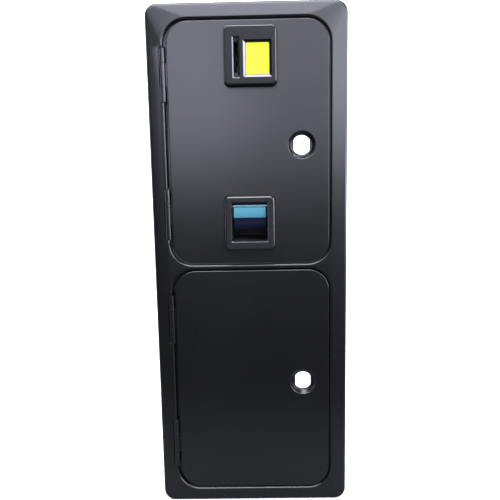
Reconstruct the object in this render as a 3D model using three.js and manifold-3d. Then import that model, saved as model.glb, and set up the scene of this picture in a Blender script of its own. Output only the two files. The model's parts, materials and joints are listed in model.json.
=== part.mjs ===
// Over/under coin door: a pressed steel surround with two hinged steel doors.
// The upper door carries the coin entry with its reject button, the coin
// mechanism behind it and the coin return. Millimetres, +Z up, the front faces -Y.
// The origin is the centre of the crossbar, on the plane of the door faces.

import * as THREE from 'three';
import { LoftGeometry } from 'three/addons/geometries/LoftGeometry.js';
import { mergeVertices } from 'three/addons/utils/BufferGeometryUtils.js';
import Module from 'manifold-3d';

const wasm = await Module();
wasm.setup();

// ---------------------------------------------------------------- dimensions

const fitGap = 0.3;
const overcut = 1;
const cornerSteps = 6;
const edgeSteps = 2;
const turnedSides = 24;
const rodSides = 12;
const boreSides = 10;

// Surround and sleeve
const frameWidth = 202;
const frameHeight = 531;
const frameCornerRadius = 12;
const sideFlange = 17;
const endFlange = 15.5;
const crossbarHeight = 4;
const openingCornerRadius = 24;
const surroundSheet = 1.5;
const rimDepth = 7;
const rimBendRadius = 3;
const flangeFall = 1.6;
const lipDepth = 9;
const lipBendRadius = 1.2;
const stopWidth = 5;
const sleeveInset = 9;
const sleeveSheet = 1.5;
const sleeveDepth = 26;
const sleeveCornerRadius = 14;

// Doors and lock holes
const doorSheet = 2;
const doorEdgeRound = 0.6;
const hingeSideGap = 3.75;
const lockSideGap = 1.75;
const endGap = 2.25;
const lockFromEdge = 27.7;
const lockDrop = 1.2;
const dishRimRadius = 14;
const dishFloorRadius = 11;
const dishDepth = 4;
const dishBorder = 2.5;
const lockHoleDiameter = 19.5;
const lockHoleFlats = 16.5;

// Hinges
const hingeLength = 52;
const knuckleRadius = 2.9;
const centreKnuckleLength = 22.8;
const knuckleGap = 0.4;
const leafSheet = 1.2;
const hingePinRadius = 1.15;
const hingeAxisOutset = 0.6;
const hingeFromDoorEnd = 51.75;
const doorLeafWidth = 26.6;
const frameLeafDepth = 19;
const leafFootWidth = 9.5;
const leafFootOverhang = 2.5;
const doorLeafGap = 0.7;
const notchClearance = 0.75;
const notchSideClearance = 1.75;

// Clamps that hold the surround to its panel
const clampFromEnd = 32.5;
const clampBoltRadius = 2.5;
const clampBoltLength = 30;
const clampTabY = 12;
const clampTabHeight = 20;
const clampBarWidth = 13.6;
const clampBarLong = 30;
const clampBarShort = 12;
const clampBarSheet = 3;

// Coin entry bezel and reject button
const entryFromDoorTop = 36;
const entryOffsetX = 2.55;
const entryProud = 14.5;
const entryEdgeRadius = 1.4;
const bezelDraft = 0.9;
const bezelCornerRadius = 3.5;
const recessWidth = 7.1;
const recessHeight = 39.6;
const recessDepth = 2.2;
const coinSlotWidth = 3.2;
const coinSlotHeight = 29;
const entryMarginLeft = 8.5;
const entryWeb = 3.5;
const entryMarginRight = 4.9;
const entryMarginTop = 13.8;
const entryMarginBottom = 7.3;
const slotRise = 1.3;
const buttonWidth = 22.5;
const buttonHeight = 30;
const buttonClearance = 0.5;
const buttonRim = 1.15;
const buttonRimThickness = 1.5;
const buttonRimClearance = 0.4;
const buttonSunk = 2.5;
const buttonWall = 1.5;
const buttonBorder = 2.2;
const panelWall = 1.3;
const buttonTravel = 5;
const wellBevel = 2.1;
const wellShelf = 5.5;
const wellWall = 1.6;
const wellDepth = 9;
const lampRise = 9.5;
const lampBulbRadius = 2.9;
const snoutWall = 3;
const snoutDepth = 17.5;
const stemRadius = 2.5;
const stemEnd = 20;
const stemNoseRadius = 1.3;
const stemNoseLength = 2;
const topStudInset = { x: 6.3, z: 5.5 };
const bottomStudInset = { x: 7.4, z: 3.4 };
const studRadius = 1.5;
const studEnd = 8;
const nutHeight = 2.4;
const nutRadius = 3.18;

// Coin return
const returnFromDoorEnd = 42.15;
const returnOffsetX = -0.7;
const returnWidth = 51.4;
const returnHeight = 55.7;
const returnProud = 10;
const returnEdgeRadius = 2.2;
const returnOpeningWidth = 35;
const returnOpeningHeight = 38.3;
const returnOpeningRise = 1.15;
const returnBevel = 1.5;
const cupWall = 1.5;
const cupDepth = 42.3;
const cupMouth = 13.8;
const cupAbove = 3.3;
const cupBelow = 1;
const cupSideRoom = 0.7;
const nutToCup = 0.5;
const flapThickness = 1.6;
const flapHubRadius = 1.9;
const flapPinRadius = 1;
const flapUpper = 12;
const flapLower = 13;
const flapSlant = 9;
const flapSideGap = 1.25;
const flapTopGap = 0.6;
const flapSet = 6;

// Coin mechanism
const mechSheet = 1.5;
const mechFront = 18;
const mechBack = 102;
const mechAboveSlot = 17;
const windowHeight = 34;
const magnetAboveWindow = 13.8;
const magnetSize = 16;
const chuteHeight = 28.5;
const coinSpace = 5;
const coinSpaceShift = -0.6;
const gateSheet = 1.2;
const gatePinRadius = 1.2;
const gateHubRadius = 2.4;
const leverArm = 14;
const leverReach = 17.7;
const leverLean = 3.2;
const leverSheet = 2.4;
const leverRollerRadius = 2;
const chuteWall = 1.2;
const chuteGap = 6;
const bracketSheet = 1.5;
const bracketLeft = -33;
const bracketMargin = 9.8;

// ------------------------------------------------------------- solid helpers

// A closed geometry as a solid that can be joined and cut.
function solid(geometry) {
  const bare = new THREE.BufferGeometry();
  bare.setAttribute('position', geometry.attributes.position);
  bare.setIndex(geometry.index);
  const merged = mergeVertices(bare, 1e-4);
  const index = merged.index.array;
  const triVerts = [];
  for (let i = 0; i < index.length; i += 3) {
    const [a, b, c] = [index[i], index[i + 1], index[i + 2]];
    if (a !== b && b !== c && c !== a) {
      triVerts.push(a, b, c);
    }
  }
  return new wasm.Manifold(new wasm.Mesh({
    numProp: 3,
    vertProperties: merged.attributes.position.array,
    triVerts: Uint32Array.from(triVerts),
  }));
}

function join(first, ...others) {
  return others.reduce((whole, piece) => whole.add(piece), first);
}

function cut(first, ...tools) {
  return tools.reduce((whole, tool) => whole.subtract(tool), first);
}

function box(x0, x1, y0, y1, z0, z1) {
  const geometry = new THREE.BoxGeometry(x1 - x0, y1 - y0, z1 - z0);
  geometry.translate((x0 + x1) / 2, (y0 + y1) / 2, (z0 + z1) / 2);
  return solid(geometry);
}

// A box given by its centre in x and z, its width and height, and its two y planes.
function block(x, z, width, height, y0, y1) {
  return box(x - width / 2, x + width / 2, y0, y1, z - height / 2, z + height / 2);
}

// Round rods along each axis; the last two numbers are the other two coordinates.
function rodX(radius, x0, x1, y, z, sides = rodSides) {
  const geometry = new THREE.CylinderGeometry(radius, radius, x1 - x0, sides);
  geometry.rotateZ(-Math.PI / 2);
  geometry.translate((x0 + x1) / 2, y, z);
  return solid(geometry);
}

function rodY(radius, y0, y1, x, z, sides = rodSides) {
  const geometry = new THREE.CylinderGeometry(radius, radius, y1 - y0, sides);
  geometry.translate(x, (y0 + y1) / 2, z);
  return solid(geometry);
}

function rodZ(radius, z0, z1, x, y, sides = rodSides) {
  const geometry = new THREE.CylinderGeometry(radius, radius, z1 - z0, sides);
  geometry.rotateX(Math.PI / 2);
  geometry.translate(x, y, (z0 + z1) / 2);
  return solid(geometry);
}

// Flat outlines given a thickness: drawn in x and z, in y and z, or in x and y.
function plateXZ(shape, y0, y1, curveSegments = cornerSteps) {
  const options = { depth: y1 - y0, bevelEnabled: false, curveSegments };
  const geometry = new THREE.ExtrudeGeometry(shape, options);
  geometry.rotateX(Math.PI / 2);
  geometry.translate(0, y1, 0);
  return solid(geometry);
}

function plateYZ(shape, x0, x1, curveSegments = cornerSteps) {
  const options = { depth: x1 - x0, bevelEnabled: false, curveSegments };
  const geometry = new THREE.ExtrudeGeometry(shape, options);
  const turn = new THREE.Matrix4().makeBasis(
    new THREE.Vector3(0, 1, 0),
    new THREE.Vector3(0, 0, 1),
    new THREE.Vector3(1, 0, 0),
  );
  geometry.applyMatrix4(turn);
  geometry.translate(x0, 0, 0);
  return solid(geometry);
}

function plateXY(shape, z0, z1, curveSegments = cornerSteps) {
  const options = { depth: z1 - z0, bevelEnabled: false, curveSegments };
  const geometry = new THREE.ExtrudeGeometry(shape, options);
  geometry.translate(0, 0, z0);
  return solid(geometry);
}

function roundedRectangle(width, height, radius) {
  const x = width / 2 - radius;
  const y = height / 2 - radius;
  const shape = new THREE.Shape();
  shape.absarc(x, y, radius, 0, Math.PI / 2);
  shape.absarc(-x, y, radius, Math.PI / 2, Math.PI);
  shape.absarc(-x, -y, radius, Math.PI, Math.PI * 1.5);
  shape.absarc(x, -y, radius, Math.PI * 1.5, Math.PI * 2);
  shape.closePath();
  return shape;
}

// A straight bar with round ends between two points.
function barShape(ax, ay, bx, by, halfWidth) {
  const lean = Math.atan2(by - ay, bx - ax);
  const shape = new THREE.Shape();
  shape.absarc(bx, by, halfWidth, lean - Math.PI / 2, lean + Math.PI / 2);
  shape.absarc(ax, ay, halfWidth, lean + Math.PI / 2, lean + Math.PI * 1.5);
  shape.closePath();
  return shape;
}

function polygon(points) {
  return new THREE.Shape(points.map(([x, y]) => new THREE.Vector2(x, y)));
}

// A rounded-rectangle section across y, for stacking into a drafted body.
function ring(width, height, radius, y, steps) {
  const points = [];
  [[1, 1], [-1, 1], [-1, -1], [1, -1]].forEach(([sideX, sideZ], quarter) => {
    for (let i = 0; i <= steps; i += 1) {
      const angle = (quarter + i / steps) * Math.PI / 2;
      points.push(new THREE.Vector3(
        sideX * (width / 2 - radius) + radius * Math.cos(angle),
        y,
        sideZ * (height / 2 - radius) + radius * Math.sin(angle),
      ));
    }
  });
  return points;
}

// Sections listed from the rear to the front.
function stack(sections) {
  return solid(new LoftGeometry(sections, { capStart: true, capEnd: true }));
}

// Quarter-round stations from 0 to 90 degrees: how far a rounded edge has come
// in from the side and how far it has gone towards the front.
function quarterRound(radius, steps) {
  return Array.from({ length: steps + 1 }, (_, i) => {
    const angle = (i / steps) * Math.PI / 2;
    return { inset: radius * (1 - Math.cos(angle)), rise: radius * Math.sin(angle) };
  });
}

function finish(color, roughness, metalness) {
  return new THREE.MeshStandardMaterial({ color, roughness, metalness });
}

const blackPowderCoat = () => finish(0x151517, 0.42, 0.0);
const blackPlastic = () => finish(0x101012, 0.35, 0.0);
const zincSteel = () => finish(0xb4b8bc, 0.38, 1.0);
const brightSteel = () => finish(0xc8cacc, 0.22, 1.0);

function addPart(group, name, piece, material) {
  const mesh = piece.getMesh();
  const geometry = new THREE.BufferGeometry();
  geometry.setAttribute('position', new THREE.BufferAttribute(mesh.vertProperties, 3));
  geometry.setIndex(new THREE.BufferAttribute(mesh.triVerts, 1));
  geometry.computeVertexNormals();
  const part = new THREE.Mesh(geometry, material);
  part.name = name;
  group.add(part);
  return part;
}

// ------------------------------------------------------------ shared places

const openingWidth = frameWidth - 2 * sideFlange;
const openingHeight = (frameHeight - 2 * endFlange - crossbarHeight) / 2;
const openingCentreZ = (crossbarHeight + openingHeight) / 2;
const doorWidth = openingWidth - hingeSideGap - lockSideGap;
const doorHeight = openingHeight - 2 * endGap;
const doorX = (hingeSideGap - lockSideGap) / 2;
const lockX = doorWidth / 2 - lockFromEdge;
const hingeAxisX = -(openingWidth / 2 + hingeAxisOutset);
const hingeAxisY = doorSheet + fitGap + leafSheet - knuckleRadius;
const hingeOffsetZ = doorHeight / 2 - hingeFromDoorEnd;
const sleeveInnerX = frameWidth / 2 - sleeveInset - sleeveSheet;
const sleeveInnerZ = frameHeight / 2 - sleeveInset - sleeveSheet;
const clampX = sleeveInnerX - fitGap - clampBarWidth / 2;
const clampZ = frameHeight / 2 - clampFromEnd;
const backOfDoor = doorSheet + fitGap;

const wellOpenWidth = buttonWidth + 2 * buttonClearance;
const wellOpenHeight = buttonHeight + 2 * buttonClearance;
const entryWidth = entryMarginLeft + recessWidth + entryWeb
  + wellOpenWidth + 2 * wellBevel + entryMarginRight;
const entryHeight = entryMarginTop + wellOpenHeight + 2 * wellBevel + entryMarginBottom;
const entryZ = doorHeight / 2 - entryFromDoorTop;
const slotX = -entryWidth / 2 + entryMarginLeft + recessWidth / 2;
const buttonX = entryWidth / 2 - entryMarginRight - wellBevel - wellOpenWidth / 2;
const buttonZ = -entryHeight / 2 + entryMarginBottom + wellBevel + wellOpenHeight / 2;
const slotZ = buttonZ + slotRise;
const wellRearWidth = buttonWidth + 2 * (buttonRim + buttonRimClearance);
const wellRearHeight = buttonHeight + 2 * (buttonRim + buttonRimClearance);
const bossWidth = wellRearWidth + 2 * wellWall;
const bossHeight = wellRearHeight + 2 * wellWall;
const snoutWidth = coinSlotWidth + 2 * snoutWall;
const snoutHeight = coinSlotHeight + 2 * snoutWall;
const entryStuds = [
  [-entryWidth / 2 + topStudInset.x, entryHeight / 2 - topStudInset.z],
  [entryWidth / 2 - bottomStudInset.x, -entryHeight / 2 + bottomStudInset.z],
];
const bossRight = buttonX + bossWidth / 2;

const returnZ = -doorHeight / 2 + returnFromDoorEnd;
const cupInnerWidth = returnOpeningWidth + 2 * cupSideRoom;
const cupOuterWidth = cupInnerWidth + 2 * cupWall;
const cupTop = returnOpeningRise + returnOpeningHeight / 2 + cupAbove + cupWall;
const cupBottom = returnOpeningRise - returnOpeningHeight / 2 - cupBelow - cupWall;
const returnStudX = cupOuterWidth / 2 + nutRadius + nutToCup;
const flapAxisZ = returnOpeningRise + returnOpeningHeight / 2 - flapHubRadius - flapTopGap;

// ------------------------------------------------------- surround and sleeve

// The rolled-edge tool that opens one door opening: wide at the face, down to the
// nominal opening where the lip turns straight back, and narrower through the
// stop that the lip turns in behind the door's edge.
function openingTool() {
  const grow = (inset, y) => ring(
    openingWidth + 2 * inset,
    openingHeight + 2 * inset,
    openingCornerRadius + inset,
    y,
    cornerSteps,
  );
  const sections = [grow(0, lipDepth - surroundSheet)];
  for (const { inset, rise } of quarterRound(lipBendRadius, edgeSteps)) {
    sections.push(grow(inset, lipBendRadius - rise));
  }
  sections.push(grow(lipBendRadius, -2));
  const insideStop = roundedRectangle(
    openingWidth - 2 * stopWidth,
    openingHeight - 2 * stopWidth,
    openingCornerRadius - stopWidth,
  );
  return join(stack(sections), plateXZ(insideStop, 0, lipDepth + overcut));
}

// The dished pan: a flange that falls away from the openings, then a bent rim.
// The same body, one sheet smaller, hollows it from behind.
function pan(wall, rear) {
  const bend = rimBendRadius - wall;
  const flatBorder = 0.5;
  const faceGrow = 2 * (lipBendRadius + flatBorder);
  const outline = (inset, y) => ring(
    frameWidth - 2 * inset,
    frameHeight - 2 * inset,
    frameCornerRadius - inset,
    y,
    cornerSteps,
  );
  const sections = [outline(wall, rear)];
  for (const { inset, rise } of quarterRound(bend, edgeSteps)) {
    sections.push(outline(wall + inset, flangeFall + rimBendRadius - rise));
  }
  sections.push(ring(
    openingWidth + faceGrow,
    frameHeight - 2 * endFlange + faceGrow,
    openingCornerRadius + faceGrow / 2,
    wall,
    cornerSteps,
  ));
  return stack(sections);
}

function hingeNotch(z) {
  const half = hingeLength / 2 + notchClearance;
  const left = hingeAxisX - knuckleRadius - notchSideClearance;
  const right = -openingWidth / 2 + overcut;
  return box(left, right, -overcut, lipDepth + overcut, z - half, z + half);
}

function makeSurround() {
  let body = cut(pan(0, rimDepth), pan(surroundSheet, rimDepth + overcut));
  const lipShape = roundedRectangle(
    openingWidth + 2 * surroundSheet,
    openingHeight + 2 * surroundSheet,
    openingCornerRadius + surroundSheet,
  );
  const lipStart = 0.4;
  for (const side of [1, -1]) {
    body = body.add(plateXZ(lipShape, lipStart, lipDepth).translate([0, 0, side * openingCentreZ]));
  }
  for (const side of [1, -1]) {
    body = body.subtract(openingTool().translate([0, 0, side * openingCentreZ]));
    for (const end of [1, -1]) {
      body = body.subtract(hingeNotch(side * openingCentreZ + end * hingeOffsetZ));
    }
  }
  return body;
}

// The welded box sleeve that passes through the panel, with a drilled tab for
// each clamp bolt.
function makeSleeve() {
  const front = surroundSheet + flangeFall + fitGap;
  const outer = roundedRectangle(
    frameWidth - 2 * sleeveInset,
    frameHeight - 2 * sleeveInset,
    sleeveCornerRadius,
  );
  const inner = roundedRectangle(
    2 * sleeveInnerX,
    2 * sleeveInnerZ,
    sleeveCornerRadius - sleeveSheet,
  );
  let body = cut(
    plateXZ(outer, front, sleeveDepth),
    plateXZ(inner, front - overcut, sleeveDepth + overcut),
  );
  for (const side of [1, -1]) {
    for (const end of [1, -1]) {
      const weld = 0.5;
      const tabWidth = clampBarWidth + fitGap + weld;
      const tabX = side * (sleeveInnerX + weld - tabWidth / 2);
      const tabBack = clampTabY + sleeveSheet;
      const tab = block(tabX, end * clampZ, tabWidth, clampTabHeight, clampTabY, tabBack);
      const hole = rodY(
        clampBoltRadius + fitGap,
        clampTabY - overcut,
        tabBack + overcut,
        side * clampX,
        end * clampZ,
      );
      body = body.add(tab).subtract(hole);
    }
  }
  return body;
}

// An angle bracket inside the sleeve; the lock's cam turns in behind its front leg.
function makeStrikePlate() {
  const legWidth = 12.2;
  const legDepth = 14;
  const length = 40;
  const right = sleeveInnerX - fitGap;
  const left = right - legWidth;
  const front = lipDepth + 2 * fitGap;
  const back = front + legDepth;
  const angle = polygon([
    [left, front],
    [right, front],
    [right, back],
    [right - sleeveSheet, back],
    [right - sleeveSheet, front + sleeveSheet],
    [left, front + sleeveSheet],
  ]);
  return plateXY(angle, -length / 2, length / 2);
}

// ---------------------------------------------------------------- clamp sets

function makeClampBolt() {
  const headRadius = 5;
  const headHeight = 2.1;
  const headBack = clampTabY - fitGap;
  const profile = [
    new THREE.Vector2(0, headBack - headHeight),
    new THREE.Vector2(headRadius * 0.6, headBack - headHeight * 0.85),
    new THREE.Vector2(headRadius, headBack - headHeight * 0.3),
    new THREE.Vector2(headRadius, headBack),
    new THREE.Vector2(clampBoltRadius, headBack),
    new THREE.Vector2(clampBoltRadius, headBack + clampBoltLength),
    new THREE.Vector2(0, headBack + clampBoltLength),
  ];
  return solid(new THREE.LatheGeometry(profile, rodSides));
}

// The bar stands along the side of the sleeve until it is turned out over the panel.
function makeClampBar(direction) {
  const front = sleeveDepth + fitGap;
  const back = front + clampBarSheet;
  const bar = box(
    -clampBarWidth / 2,
    clampBarWidth / 2,
    front,
    back,
    direction > 0 ? -clampBarLong : -clampBarShort,
    direction > 0 ? clampBarShort : clampBarLong,
  );
  return cut(bar, rodY(clampBoltRadius + fitGap, front - overcut, back + overcut, 0, 0, boreSides));
}

function makeClampNut() {
  const hubRadius = 4.6;
  const hubHeight = 5;
  const wingStart = 1.2;
  const wingThickness = 2;
  const front = sleeveDepth + clampBarSheet + 2 * fitGap;
  const back = front + hubHeight;
  const hub = rodY(hubRadius, front, back, 0, 0, boreSides);
  const rightWing = plateXZ(
    polygon([[3, -1.5], [6.4, -1], [6.4, 5], [4.5, 5.5], [3, 1.5]]),
    front + wingStart,
    front + wingStart + wingThickness,
  );
  const bore = rodY(clampBoltRadius + fitGap, front - overcut, back + overcut, 0, 0, boreSides);
  return cut(join(hub, rightWing, rightWing.mirror([1, 0, 0])), bore);
}

// -------------------------------------------------------------------- hinges

const outerKnuckleStart = centreKnuckleLength / 2 + knuckleGap;
const leafFront = knuckleRadius - leafSheet;

function boreAndFinish(leaf) {
  return cut(leaf, rodZ(hingePinRadius + fitGap, -hingeLength, hingeLength, 0, 0, boreSides));
}

// Its plate lies along the sleeve, and a foot turns in behind the surround's lip,
// which closes the notch that the knuckles stand in.
function makeFrameLeaf() {
  const plateX = -sleeveInnerX + fitGap - hingeAxisX;
  const half = hingeLength / 2;
  const footFront = lipDepth + fitGap - hingeAxisY;
  const footEnd = half + leafFootOverhang;
  let leaf = join(
    box(plateX, plateX + leafSheet, leafFront, frameLeafDepth, -half, half),
    box(plateX, plateX + leafFootWidth, footFront, footFront + leafSheet, -footEnd, footEnd),
  );
  for (const [low, high] of [[outerKnuckleStart, half], [-half, -outerKnuckleStart]]) {
    leaf = join(
      leaf,
      rodZ(knuckleRadius, low, high, 0, 0),
      box(plateX, 0, leafFront, knuckleRadius, low, high),
    );
  }
  return boreAndFinish(leaf);
}

function makeDoorLeaf() {
  const half = hingeLength / 2;
  const centre = centreKnuckleLength / 2;
  const clear = knuckleRadius + doorLeafGap;
  return boreAndFinish(join(
    box(clear, doorLeafWidth, leafFront, knuckleRadius, -half, half),
    box(0, clear + leafSheet, leafFront, knuckleRadius, -centre, centre),
    rodZ(knuckleRadius, -centre, centre, 0, 0),
  ));
}

function makeHingePin() {
  return rodZ(hingePinRadius, -hingeLength / 2, hingeLength / 2, 0, 0, boreSides);
}

// --------------------------------------------------------------------- doors

// The pressed dish round a lock hole, as a turned ring of the door's own sheet.
function makeDish() {
  const wallShift = doorSheet * 0.75;
  const rimEase = 0.4;
  const outside = dishRimRadius + dishBorder + 0.5;
  const profile = [
    [0, dishDepth],
    [dishFloorRadius, dishDepth],
    [dishRimRadius - rimEase, rimEase],
    [dishRimRadius, 0],
    [outside, 0],
    [outside, doorSheet],
    [dishRimRadius + wallShift, doorSheet],
    [dishFloorRadius + wallShift, dishDepth + doorSheet],
    [0, dishDepth + doorSheet],
  ].map(([radius, y]) => new THREE.Vector2(radius, y));
  return solid(new THREE.LatheGeometry(profile, turnedSides));
}

function lockHoleTool() {
  const front = dishDepth - 1;
  const back = dishDepth + doorSheet + 1;
  const circle = rodY(lockHoleDiameter / 2, front, back, 0, 0, turnedSides);
  return circle.intersect(block(0, 0, lockHoleFlats, lockHoleDiameter, front, back));
}

function makeDoorPanel() {
  const radius = openingCornerRadius - endGap;
  const shape = roundedRectangle(
    doorWidth - 2 * doorEdgeRound,
    doorHeight - 2 * doorEdgeRound,
    radius - doorEdgeRound,
  );
  const geometry = new THREE.ExtrudeGeometry(shape, {
    depth: doorSheet - 2 * doorEdgeRound,
    bevelEnabled: true,
    bevelSize: doorEdgeRound,
    bevelThickness: doorEdgeRound,
    bevelSegments: 1,
    curveSegments: cornerSteps,
  });
  geometry.rotateX(Math.PI / 2);
  geometry.translate(0, doorSheet - doorEdgeRound, 0);
  const lock = [lockX, 0, -lockDrop];
  const seatRadius = dishRimRadius + dishBorder;
  const seat = rodY(seatRadius, -overcut, doorSheet + overcut, 0, 0, turnedSides);
  const blank = join(cut(solid(geometry), seat.translate(lock)), makeDish().translate(lock));
  return cut(blank, lockHoleTool().translate(lock));
}

function entryCutout(margin, y0, y1) {
  const left = slotX - snoutWidth / 2 - margin;
  const right = bossRight + margin;
  const top = Math.max(slotZ + snoutHeight / 2, buttonZ + bossHeight / 2) + margin;
  const bottom = Math.min(slotZ - snoutHeight / 2, buttonZ - bossHeight / 2) - margin;
  return box(left, right, y0, y1, bottom, top).translate([entryOffsetX, 0, entryZ]);
}

function makeUpperDoorPanel() {
  const studHoles = [
    ...entryStuds.map(([x, z]) => [x + entryOffsetX, z + entryZ]),
    [returnOffsetX - returnStudX, returnZ],
    [returnOffsetX + returnStudX, returnZ],
  ].map(([x, z]) => rodY(studRadius + fitGap, -overcut, doorSheet + overcut, x, z, boreSides));
  const collarRoom = 4;
  const returnCutout = block(
    returnOffsetX,
    returnZ + returnOpeningRise,
    returnOpeningWidth + collarRoom,
    returnOpeningHeight + collarRoom,
    -overcut,
    doorSheet + overcut,
  );
  const entryOpening = entryCutout(0.5, -overcut, doorSheet + overcut);
  return cut(makeDoorPanel(), entryOpening, returnCutout, ...studHoles);
}

// ---------------------------------------------------------- coin entry group

// A drafted block with a rounded front edge, on the door's face.
function bezelBody(width, height, proud, edge) {
  const grow = (extra, y) => ring(
    width + 2 * extra,
    height + 2 * extra,
    bezelCornerRadius + extra,
    y,
    cornerSteps / 2,
  );
  const sections = [grow(bezelDraft, -fitGap)];
  for (const { inset, rise } of quarterRound(edge, edgeSteps)) {
    sections.push(grow(-inset, -(proud - edge) - rise));
  }
  return stack(sections);
}

// A tapered pocket: small at its floor, larger where it meets the face.
function taperedPocket(x, z, width, height, bevel, floorY, faceY) {
  const cornerRadius = 0.4;
  const past = 0.5;
  const grow = 2 * (bevel + past * (bevel / (floorY - faceY)));
  return stack([
    ring(width, height, cornerRadius, floorY, 1),
    ring(width + grow, height + grow, cornerRadius, faceY - past, 1),
  ]).translate([x, 0, z]);
}

function makeEntryBezel() {
  const face = -entryProud;
  const shelf = face + wellShelf;
  const recessBevel = 0.8;
  const floorWidth = recessWidth - 2 * recessBevel;
  const floorHeight = recessHeight - 2 * recessBevel;
  const body = join(
    bezelBody(entryWidth, entryHeight, entryProud, entryEdgeRadius),
    block(buttonX, buttonZ, bossWidth, bossHeight, -1, wellDepth),
    block(slotX, slotZ, snoutWidth, snoutHeight, -1, snoutDepth),
    ...entryStuds.map(([x, z]) => rodY(studRadius, -1, studEnd, x, z, boreSides)),
  );
  return cut(
    body,
    taperedPocket(slotX, slotZ, floorWidth, floorHeight, recessBevel, face + recessDepth, face),
    block(slotX, slotZ, coinSlotWidth, coinSlotHeight, face - overcut, snoutDepth + overcut),
    taperedPocket(buttonX, buttonZ, wellOpenWidth, wellOpenHeight, wellBevel, face + wellBevel, face),
    block(buttonX, buttonZ, wellOpenWidth, wellOpenHeight, face - overcut, shelf + overcut),
    block(buttonX, buttonZ, wellRearWidth, wellRearHeight, shelf, wellDepth + overcut),
  );
}

// A hollow push button: face with a raised border and pictogram, a rim that
// stops it behind the bezel's shelf, and a stem that reaches back to the lever.
function makeRejectButton() {
  const face = -entryProud + buttonSunk;
  const rimFront = -entryProud + wellShelf + fitGap;
  const rimBack = rimFront + buttonRimThickness;
  const panelDrop = 0.8;
  const panelWidth = buttonWidth - 2 * buttonBorder;
  const panelHeight = buttonHeight - 2 * buttonBorder;
  const inner = face + panelDrop + panelWall;
  const innerWidth = buttonWidth - 2 * buttonWall;
  const innerHeight = buttonHeight - 2 * buttonWall;
  const pocket = taperedPocket(0, 0, panelWidth, panelHeight, panelDrop, face + panelDrop, face);
  const embossFront = face + 0.3;
  const embossBack = face + panelDrop + 0.2;
  const ringEmboss = cut(
    rodY(6.8, embossFront, embossBack, 0, -2, turnedSides),
    rodY(5.6, embossFront - overcut, embossBack + overcut, 0, -2, turnedSides),
  );
  const barEmboss = block(0, 7.6, 3.2, 1.4, embossFront, embossBack);
  const bridgeHeight = 6;
  const shell = cut(
    join(
      block(0, 0, buttonWidth, buttonHeight, face, rimBack),
      block(0, 0, buttonWidth + 2 * buttonRim, buttonHeight + 2 * buttonRim, rimFront, rimBack),
    ),
    pocket,
    block(0, 0, innerWidth, innerHeight, inner, rimBack + overcut),
  );
  return join(
    shell,
    ringEmboss,
    barEmboss,
    block(0, 0, innerWidth + buttonWall, bridgeHeight, rimFront, rimBack),
    rodY(stemRadius, rimFront, stemEnd - stemNoseLength, 0, 0),
    rodY(stemNoseRadius, rimFront, stemEnd, 0, 0),
  );
}

// The back plate of the button well: stem guide, spring seat and lamp socket.
function makeLampHolder() {
  const plateSheet = 1.2;
  const socketFront = 1;
  const socketWall = 1.6;
  const stemClearance = 0.4;
  const front = wellDepth + fitGap;
  const back = front + plateSheet;
  return cut(
    join(
      block(0, 0, bossWidth, bossHeight, front, back),
      rodY(lampBulbRadius + socketWall, socketFront, front + plateSheet / 2, 0, lampRise),
    ),
    rodY(lampBulbRadius + fitGap, socketFront - overcut, front, 0, lampRise),
    rodY(stemRadius + stemClearance, front - overcut, back + overcut, 0, 0),
  );
}

function makeLampBulb() {
  const tip = -4;
  const back = wellDepth;
  const profile = [
    new THREE.Vector2(0, tip),
    new THREE.Vector2(lampBulbRadius * 0.6, tip + 0.6),
    new THREE.Vector2(lampBulbRadius, tip + 2.4),
    new THREE.Vector2(lampBulbRadius, back),
    new THREE.Vector2(0, back),
  ];
  return solid(new THREE.LatheGeometry(profile, rodSides)).translate([0, 0, lampRise]);
}

// The coil spring between the button and the lamp holder, as its own sleeve.
function makeButtonSpring() {
  const outerRadius = 4.2;
  const innerRadius = 3;
  const front = -entryProud + wellShelf + 2 * fitGap + buttonRimThickness;
  return cut(
    rodY(outerRadius, front, wellDepth, 0, 0),
    rodY(innerRadius, front - overcut, wellDepth + overcut, 0, 0),
  );
}

function makeNut(x, z, y) {
  return cut(
    rodY(nutRadius, y, y + nutHeight, x, z, 6),
    rodY(studRadius + fitGap, y - overcut, y + nutHeight + overcut, x, z, boreSides),
  );
}

// --------------------------------------------------------- coin return group

function makeReturnBezel() {
  const face = -returnProud;
  const mouth = [returnOpeningWidth, returnOpeningHeight];
  const collarWall = 1.5;
  const pinEnd = returnWidth / 2 - 4;
  const body = join(
    bezelBody(returnWidth, returnHeight, returnProud, returnEdgeRadius),
    block(0, returnOpeningRise, mouth[0] + 2 * collarWall, mouth[1] + 2 * collarWall, -1, doorSheet),
    ...[1, -1].map((side) => rodY(studRadius, -1, studEnd, side * returnStudX, 0, boreSides)),
  );
  return cut(
    body,
    block(0, returnOpeningRise, mouth[0], mouth[1], face - overcut, doorSheet + overcut),
    taperedPocket(0, returnOpeningRise, mouth[0], mouth[1], returnBevel, face + returnBevel, face),
    rodX(flapPinRadius + fitGap, -pinEnd, pinEnd, -flapSet, flapAxisZ, boreSides),
  );
}

function makeReturnCup() {
  const back = backOfDoor + cupDepth;
  const plateBack = backOfDoor + cupWall;
  const plateHeight = returnHeight - 1;
  const inner = (y0, y1, z1) => box(
    -cupInnerWidth / 2,
    cupInnerWidth / 2,
    y0,
    y1,
    cupBottom + cupWall,
    z1,
  );
  return cut(
    join(
      box(-cupOuterWidth / 2, cupOuterWidth / 2, backOfDoor, back + cupWall, cupBottom, cupTop),
      block(0, 0, returnWidth, plateHeight, backOfDoor, plateBack),
    ),
    inner(backOfDoor - overcut, back, cupTop - cupWall),
    inner(cupMouth, back, cupTop + overcut),
    ...[1, -1].map(
      (side) => rodY(studRadius + fitGap, backOfDoor - overcut, plateBack + overcut, side * returnStudX, 0),
    ),
  );
}

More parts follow.
